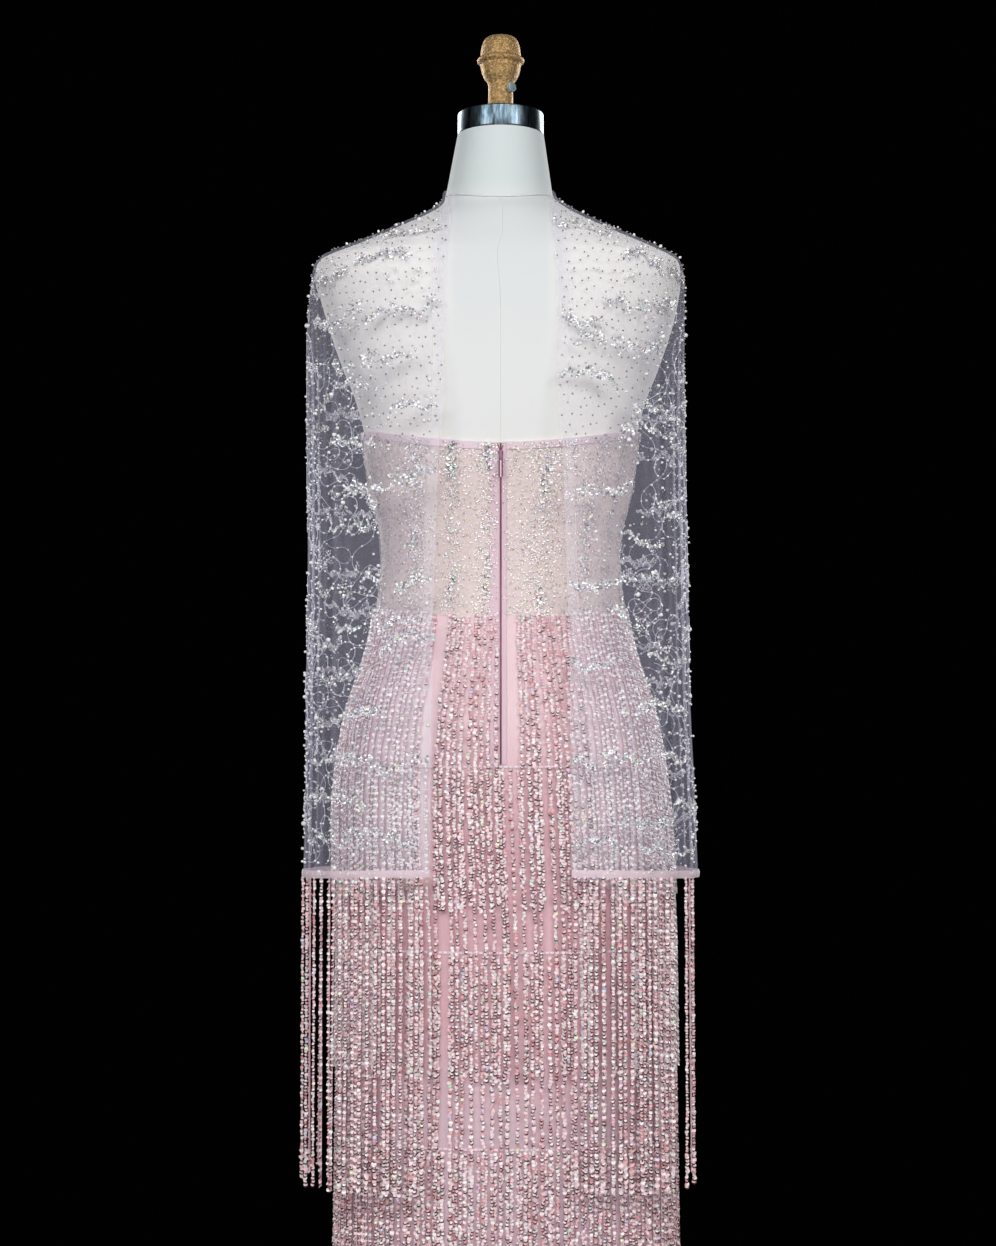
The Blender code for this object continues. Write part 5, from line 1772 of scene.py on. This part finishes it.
def ruler_for(surface, start, end, heights):
    """For some heights, angles across the cloth and how far round it each one is from the first."""
    marks = 240
    angles = start[:, None] + (end - start)[:, None] * np.linspace(0, 1, marks)
    points = surface(angles, heights[:, None])
    steps = np.linalg.norm(np.diff(points, axis=1), axis=-1)
    gone = np.concatenate([np.zeros((len(heights), 1)), np.cumsum(steps, axis=1)], axis=1)
    return heights, angles, gone


def on_cloth(ruler, reach, height):
    """The angle that is this far round the cloth at each height, and whether it is on the cloth."""
    end_margin, side_margin = 0.003, 0.002
    heights, angles, gone = ruler
    last = len(heights) - 1
    row = np.clip(np.round((heights[0] - height) / (heights[0] - heights[-1]) * last), 0, last).astype(int)
    found = np.empty(len(reach))
    inside = (height < heights[0] - end_margin) & (height > heights[-1] + end_margin)
    for number in np.unique(row):
        here = row == number
        found[here] = np.interp(reach[here], gone[number], angles[number])
        inside[here] &= (reach[here] > side_margin) & (reach[here] < gone[number, -1] - side_margin)
    return found, inside


def turned_flat(points, turn, centre):
    """Turns a flat motif, and moves it to its centre."""
    cosine, sine = math.cos(turn), math.sin(turn)
    across = points[:, 0] * cosine - points[:, 1] * sine + centre[0]
    along = points[:, 0] * sine + points[:, 1] * cosine + centre[1]
    return np.stack([across, along, points[:, 2]], axis=1)


def sprig(centre, length, arch, turn, random):
    """An arched stem of several rows of sequins, fuller at one end, with leaflets in pairs."""
    steps = int(length / SPRIG_STEP)
    share = np.linspace(0, 1, steps)
    across = (share - 0.5) * length
    along = arch * np.sin(math.pi * share) + arch * 0.3 * np.sin(2 * math.pi * share)
    along = along + 0.0024 * np.sin(random.uniform(0, 6) + share * length / 0.0032)
    rows = []
    for row in (-1.5, -0.5, 0.5, 1.5):
        beside = row * SPRIG_ROW_GAP * (1.1 - 0.8 * share)
        shift = SPRIG_ROW_GAP / 2 * (row % 1 > 0) * (row > 0)
        rows.append(np.stack([across + shift, along + beside, random.uniform(0.8, 1.25, steps)], axis=1))
    for number, place in enumerate(np.arange(0.10, 0.92, LEAFLET_PITCH / length)):
        root = np.array((np.interp(place, share, across), np.interp(place, share, along)))
        way = LEAFLET_TURN if number % 2 else -LEAFLET_TURN
        reach = np.array(LEAFLET_REACHES) * (1.15 - 0.5 * place)
        leaf = np.stack([root[0] + reach * math.cos(way), root[1] + reach * math.sin(way)], axis=1)
        rows.append(np.column_stack([leaf, LEAFLET_SIZES]))
    return turned_flat(np.concatenate(rows), turn, centre)


def rosette(centre, radius, petals, turn):
    """Petals of sequins round a ring of small ones."""
    rows = [(0.0, 0.0, 1.5)]
    for petal in range(petals):
        way = turn + 2 * math.pi * petal / petals
        for reach, side, size in (*PETAL_MARKS, (0.62, math.pi / petals, 0.6)):
            rows.append((radius * reach * math.cos(way + side), radius * reach * math.sin(way + side), size))
    return turned_flat(np.array(rows), 0.0, centre)


def trail(centre, length, swell, turn):
    """A dotted wave."""
    share = np.linspace(0, 1, int(length / TRAIL_STEP))
    wave = swell * np.sin(share * 2 * math.pi * length / TRAIL_WAVE)
    rows = [(share - 0.5) * length, wave, 0.55 + 0.25 * np.cos(share * 40)]
    return turned_flat(np.stack(rows, axis=1), turn, centre)


def ground_dots(width, top, bottom, pitch, low, high, random):
    """Small dots set out in staggered rows."""
    rows = []
    for number, along in enumerate(np.arange(top, bottom, -pitch)):
        across = np.arange(pitch / 2 * (number % 2), width, pitch)
        sizes = random.uniform(low, high, len(across))
        rows.append(np.stack([across, np.full_like(across, along), sizes], axis=1))
    dots = np.concatenate(rows)
    dots[:, :2] += random.normal(0, pitch * 0.17, (len(dots), 2))
    return dots


def motifs_over(width, top, bottom, sides, random):
    """Sprigs, rosettes and trails in loose rows across a panel, with fewer beside its side lines."""
    groups = []
    for number, along in enumerate(np.arange(top - 0.045, bottom, -MOTIF_DROP)):
        first = MOTIF_FIRST_ODD if number % 2 else MOTIF_FIRST_EVEN
        for place, across in enumerate(np.arange(first, width, MOTIF_STEP)):
            scatter_across, scatter_along = (random.normal(0, each) for each in MOTIF_SCATTER)
            centre = (across + scatter_across, along + scatter_along)
            from_side = min(abs(across - side) for side in sides)
            if from_side < SIDE_CLEARANCE and number % 4 != 1 and along < CAPE_REST_LEVEL:
                continue
            kind = (number + 2 * place) % 3
            if kind < 2:
                arch = (0.008 if (number + place) % 2 else -0.007) + random.normal(0, 0.003)
                turn = random.normal(0, 0.16) + math.pi * (random.uniform() < 0.5)
                groups.append(sprig(centre, random.uniform(*SPRIG_LENGTHS), arch, turn, random))
                beside = (centre[0] + random.normal(0, 0.012), centre[1] - 0.013 * np.sign(arch))
                length = random.uniform(*TRAIL_LENGTHS)
                groups.append(trail(beside, length, TRAIL_SWELL, random.normal(0, 0.10)))
            else:
                radius = random.uniform(*ROSETTE_RADII)
                groups.append(rosette(centre, radius, 5 + number % 2, random.uniform(0, 1)))
                for side in (-1, 1):
                    beside = (centre[0] + side * SIDE_SPRIG_REACH, centre[1] + random.normal(0, 0.008))
                    length = random.uniform(*SIDE_SPRIG_LENGTHS)
                    groups.append(sprig(beside, length, 0.006 * side, 0.25 * side, random))
    return np.concatenate(groups)


def scattered(width, top, bottom, count, low, high, random):
    """Marks of random sizes anywhere on a panel."""
    size = random.uniform(low, high, count)
    return np.stack([random.uniform(0, width, count), random.uniform(bottom, top, count), size], axis=1)


def tendrils(first, width, top, bottom, random):
    """Meandering threads set side by side: grids of across and along."""
    columns, rows = [], []
    share = np.linspace(0, 1, TENDRIL_POINTS)
    for column, across in enumerate(np.arange(first, first + width, TENDRIL_STEP)):
        for along in np.arange(top - TENDRIL_DROP / 2 * (column % 2), bottom + 0.05, -TENDRIL_DROP):
            length = random.uniform(*TENDRIL_LENGTHS)
            bends = share * length / random.uniform(*TENDRIL_BENDS)
            heading = random.normal(-1.5, 0.4)
            heading = heading + random.uniform(1.5, 2.0) * np.sin(bends + random.uniform(0, 6))
            heading = heading + 0.7 * np.sin(bends * 0.43 + random.uniform(0, 6))
            step = length / (TENDRIL_POINTS - 1)
            columns.append(across + 0.010 + np.cumsum(np.cos(heading)) * step)
            rows.append(along + np.cumsum(np.sin(heading)) * step)
    return np.array(columns), np.array(rows)


def folded(values, low, high):
    """Turns what passes either limit back inside."""
    return high - np.abs(high - (low + np.abs(values - low)))


def sewn(name, surface, ruler, marks, lift, tree, settings):
    """Sews ornaments at flat marks that are on the cloth."""
    angles, inside = on_cloth(ruler, marks[:, 0], marks[:, 1])
    angles, heights, sizes = angles[inside], marks[inside, 1], marks[inside, 2]
    points = moved_out(surface, angles, heights, lift)
    base = places_mesh(name + "_places", points, outward(surface, angles, heights), sizes)
    return grown(name, base, tree, **settings)


def cape_beadwork():
    """Sequins, beads and curling threads sewn on each panel of the cape."""
    done = {side: [] for side in ("back_left", "back_right", "front")}
    heights = np.linspace(CAPE_NECK, CAPE_HEM, 150)
    lift = TULLE + BEADWORK_LIFT
    for number, (side, (start, end)) in enumerate(cape_spans(heights).items()):
        random = np.random.default_rng(SEEDS["cape panel"] + number)
        ruler = ruler_for(cape, start, end, heights)
        width = ruler[2][:, -1].max()

        def sew(kind, marks, tree, rise, **settings):
            """Sews one kind of ornament on this panel."""
            settings["Seed"] = SEEDS[f"cape {kind}"] + number
            piece = sewn(f"cape_{kind}_{side}", cape, ruler, marks, lift + rise, tree, settings)
            done[side].append(belongs(piece, "lavender_tulle"))

        sides = (0.0, width) if side == "front" else (0.0,)
        motifs = motifs_over(width, CAPE_NECK, CAPE_HEM + 0.012, sides, random)
        if side == "back_right":
            motifs[:, 0] = width - motifs[:, 0]
        sew("sequins", motifs, SEW_SEQUINS, 0.0, Tilt=0.75, Finish=CAPE_SEQUINS)
        dots = ground_dots(width, CAPE_NECK, DOTS_END, DOT_PITCH, *DOT_SIZES, random)
        sew("dots", dots, SEW_BEADS, 0.0002, Radius=0.0011, Finish=CAPE_DOTS)
        zones = ((CAPE_HEM + 0.0058, CAPE_HEM + 0.0034), (CAPE_NECK, CAPE_HEM), (CAPE_NECK, CAPE_HEM))
        hem, *sparks = (
            scattered(width, *zone, int(width * count), *sizes, random)
            for zone, count, sizes in zip(zones, CRYSTALS_PER_METRE, CRYSTAL_SIZES)
        )
        crystals = np.concatenate([*sparks, hem])
        sew("crystals", crystals, SEW_BEADS, 0.0009, Radius=0.0014, Finish=CRYSTAL)
        done[side] += cape_tendrils(side, ruler, width, random, lift)
    return done


def cape_tendrils(side, ruler, width, random, lift):
    """The curling threads near the cape's side lines, with a small bead at every step."""
    far = width - TENDRIL_ZONE - TENDRIL_START
    zones = {"back_left": (TENDRIL_START,), "back_right": (far,), "front": (TENDRIL_START, far)}
    sets = [tendrils(first, TENDRIL_ZONE, TENDRIL_TOP, CAPE_HEM, random) for first in zones[side]]
    across, along = (np.concatenate(part) for part in zip(*sets))
    along = folded(along, CAPE_HEM + TENDRIL_START, CAPE_REST_LEVEL)
    across = folded(across, 0.006, width - 0.010)
    angles, _ = on_cloth(ruler, across.ravel(), along.ravel())
    paths = moved_out(cape, angles, along.ravel(), lift).reshape(*across.shape, 3)
    threads = laid("cape_threads_" + side, paths, 0.00034, SILVER_THREAD, "lavender_tulle")
    beaded = across[:, ::4].ravel(), along[:, ::4].ravel()
    marks = np.stack([*beaded, np.ones(len(beaded[0]))], axis=1)
    settings = {"Radius": 0.0012, "Seed": SEEDS["tendril beads"], "Finish": CRYSTAL}
    beads = sewn("cape_beads_" + side, cape, ruler, marks, lift + 0.0003, SEW_BEADS, settings)
    return [threads, belongs(beads, "lavender_tulle")]


def bead_density(angles, share):
    """How thickly the bodice is covered, in upright bands and patches, and how strongly both meet."""
    turn = np.radians(angles)
    band = 0.5 + 0.5 * np.sin(17 * turn + 1.3 * np.sin(5 * turn) + 1.5 * share)
    patch = 0.5 + 0.5 * np.sin(23 * turn + 2.0) * np.sin(9.0 * share + 3 * turn)
    near_top = np.clip(TOP_SHARE - share, 0, 1) / TOP_SHARE
    dense = 0.14 + 0.55 * band**2 * (0.6 + 0.4 * patch) + 0.5 * near_top * patch
    return dense, bell(patch + band, 1.95, 0.22)


def bodice_beadwork():
    """Sequins falling in upright bands from the top edge, thin where the lining shows between them."""
    random = np.random.default_rng(SEEDS["bodice"])
    heights = np.linspace(BEADWORK_TOP, WAIST_JOIN_AT_SIDES - WAIST_JOIN_DIP - 0.004, 120)
    start = np.full_like(heights, CENTRE_BACK)
    ruler = ruler_for(figure, start, start + 360, heights)
    width = ruler[2][:, -1].max()
    count = BODICE_SEQUIN_COUNT
    across = random.uniform(0, width, count)
    along = random.uniform(heights[-1], heights[0], count)
    angles, inside = on_cloth(ruler, across, along)
    top, join = bodice_top(angles), waist_join(angles)
    inside &= (along < top - 0.0012) & (along > join + BEADWORK_MARGIN)
    dense, clustered = bead_density(angles, (top - along) / (top - join))
    from_zip = np.minimum(np.abs(angles - CENTRE_BACK), np.abs(angles - CENTRE_BACK - 360))
    from_zip = from_zip * speed(figure, angles, along)
    tape = np.where(angles > CENTRE_FRONT, TAPE_LEFT_WIDTH, TAPE_RIGHT_WIDTH) + 0.0015
    on_edge = (from_zip < tape) | (along > top - BODICE_TOP_BINDING - BEADWORK_MARGIN)
    dense = np.where(on_edge, EDGE_SHARE * dense * (from_zip > CHAIN_CLEARANCE), dense)
    keep = inside & (random.uniform(0, 1, count) < dense)
    angles, along, on_edge, clustered = angles[keep], along[keep], on_edge[keep], clustered[keep]
    kept = len(angles)
    lift = ON_CLOTH + 0.0007 + random.uniform(0, 0.0006, kept) + EDGE_LIFT * on_edge
    points = moved_out(figure, angles, along, lift)
    sizes = random.uniform(*BODICE_SEQUIN_SIZES, kept) * (1 + 0.5 * clustered)
    away = outward(figure, angles, along)
    base = places_mesh("bodice_places", points, away, sizes)
    settings = {"Radius": 0.0010, "Tilt": 0.4, "Seed": SEEDS["bodice sequins"], "Finish": BODICE_SEQUINS}
    belongs(grown("bodice_sequins", base, SEW_SEQUINS, **settings), "nude_mesh")
    larger = (clustered > 0.18) & (random.uniform(0, 1, kept) < PAILLETTE_SHARE)
    over = points[larger] + PAILLETTE_LIFT * away[larger]
    sizes = random.uniform(*PAILLETTE_SIZES, larger.sum())
    base = places_mesh("paillette_places", over, away[larger], sizes)
    shape = {"Radius": 0.0022, "Cup": 0.0007, "Tilt": 0.5}
    settings = {**shape, "Seed": SEEDS["bodice paillettes"], "Finish": BODICE_PAILLETTES}
    belongs(grown("bodice_paillettes", base, SEW_SEQUINS, **settings), "nude_mesh")


# ---- camera, floor and light

# Each lamp's place, what it is aimed at, how wide and high it is, and its power.
LAMPS = {
    "key left": ((2.0, 2.6, 2.3), (0, 0, 1.1), (1.2, 1.6), 37),
    "key right": ((-2.0, 2.6, 2.3), (0, 0, 1.1), (1.2, 1.6), 37),
    "over camera": ((0, 2.6, 2.6), (0, 0, 1.1), (1.6, 0.8), 25),
    "low fill": ((0, 3.0, 0.35), (0, 0, 0.7), (2.0, 0.5), 20),
    "front left": ((1.8, -2.6, 2.2), (0, 0, 0.9), (1.4, 1.6), 55),
    "front right": ((-1.8, -2.6, 2.2), (0, 0, 0.9), (1.4, 1.6), 55),
}
BACKDROP = (0.0004, 0.0004, 0.0005, 1)


def aimed(obj, place, aim):
    """Stands a camera or a lamp in its place, facing what it is aimed at."""
    way = Vector(aim) - Vector(place)
    obj.matrix_world = Matrix.Translation(place) @ way.to_track_quat("-Z", "Y").to_matrix().to_4x4()
    bpy.context.scene.collection.objects.link(obj)
    return obj


def camera():
    """The camera behind the gown."""
    lens = bpy.data.cameras.new("camera")
    lens.lens = CAMERA_LENS
    lens.sensor_width = CAMERA_SENSOR
    bpy.context.scene.camera = aimed(bpy.data.objects.new("camera", lens), CAMERA_PLACE, CAMERA_AIM)


def floor():
    """A pale round floor."""
    material, tree, shader = finish("pale floor", {"Roughness": 0.8})
    coloured(tree, shader, mottled(tree, object_place(tree), (0.6, 0.6, 0.62), 3.0, 0.04))
    middle, edge, thickness = 0.01, 1.0, 0.01
    profile = [(middle, 0.0), (edge, 0.0), (edge, -thickness), (middle, -thickness)]
    disc = wear(lathe("floor", profile, 96), material)


def studio():
    """A dark backdrop and the lamps."""
    world = bpy.data.worlds.new("studio")
    world.use_nodes = True
    world.node_tree.nodes["Background"].inputs["Color"].default_value = BACKDROP
    scene = bpy.context.scene
    scene.world = world
    scene.view_settings.view_transform = "Standard"
    scene.cycles.transparent_max_bounces = 24
    for name, (place, aim, size, power) in LAMPS.items():
        light = bpy.data.lights.new(name, "AREA")
        light.shape = "RECTANGLE"
        light.size, light.size_y = size
        light.energy = power
        aimed(bpy.data.objects.new(name, light), place, aim)


# ---- making everything

THREADING = threading_tree()
SEW_SEQUINS = sewing_tree("Sewn sequins", cup_sequin, 5, {"Radius": 0.0013, "Cup": 0.0004})
SEW_BEADS = sewing_tree("Sewn beads", round_bead, 5, {"Radius": 0.0014})
LAYING = laying_tree()
STITCHING = stitching_tree()

camera()
studio()
floor()
form_torso()
form_neck()
form_seams()
neck_cap()
knob()
set_screw()
stand_pieces()

bodice()
top_binding()
bodice_beadwork()
zip_pieces()
skirt_back_left, skirt_back_right, skirt_front = skirt()
tiers = fringe_tiers()
headings = row_headings()

sheer = sheer_panels()
bands = edge_bands()
hems = hem_bindings()
cape_strands = cape_fringe()
sewn_on = cape_beadwork()
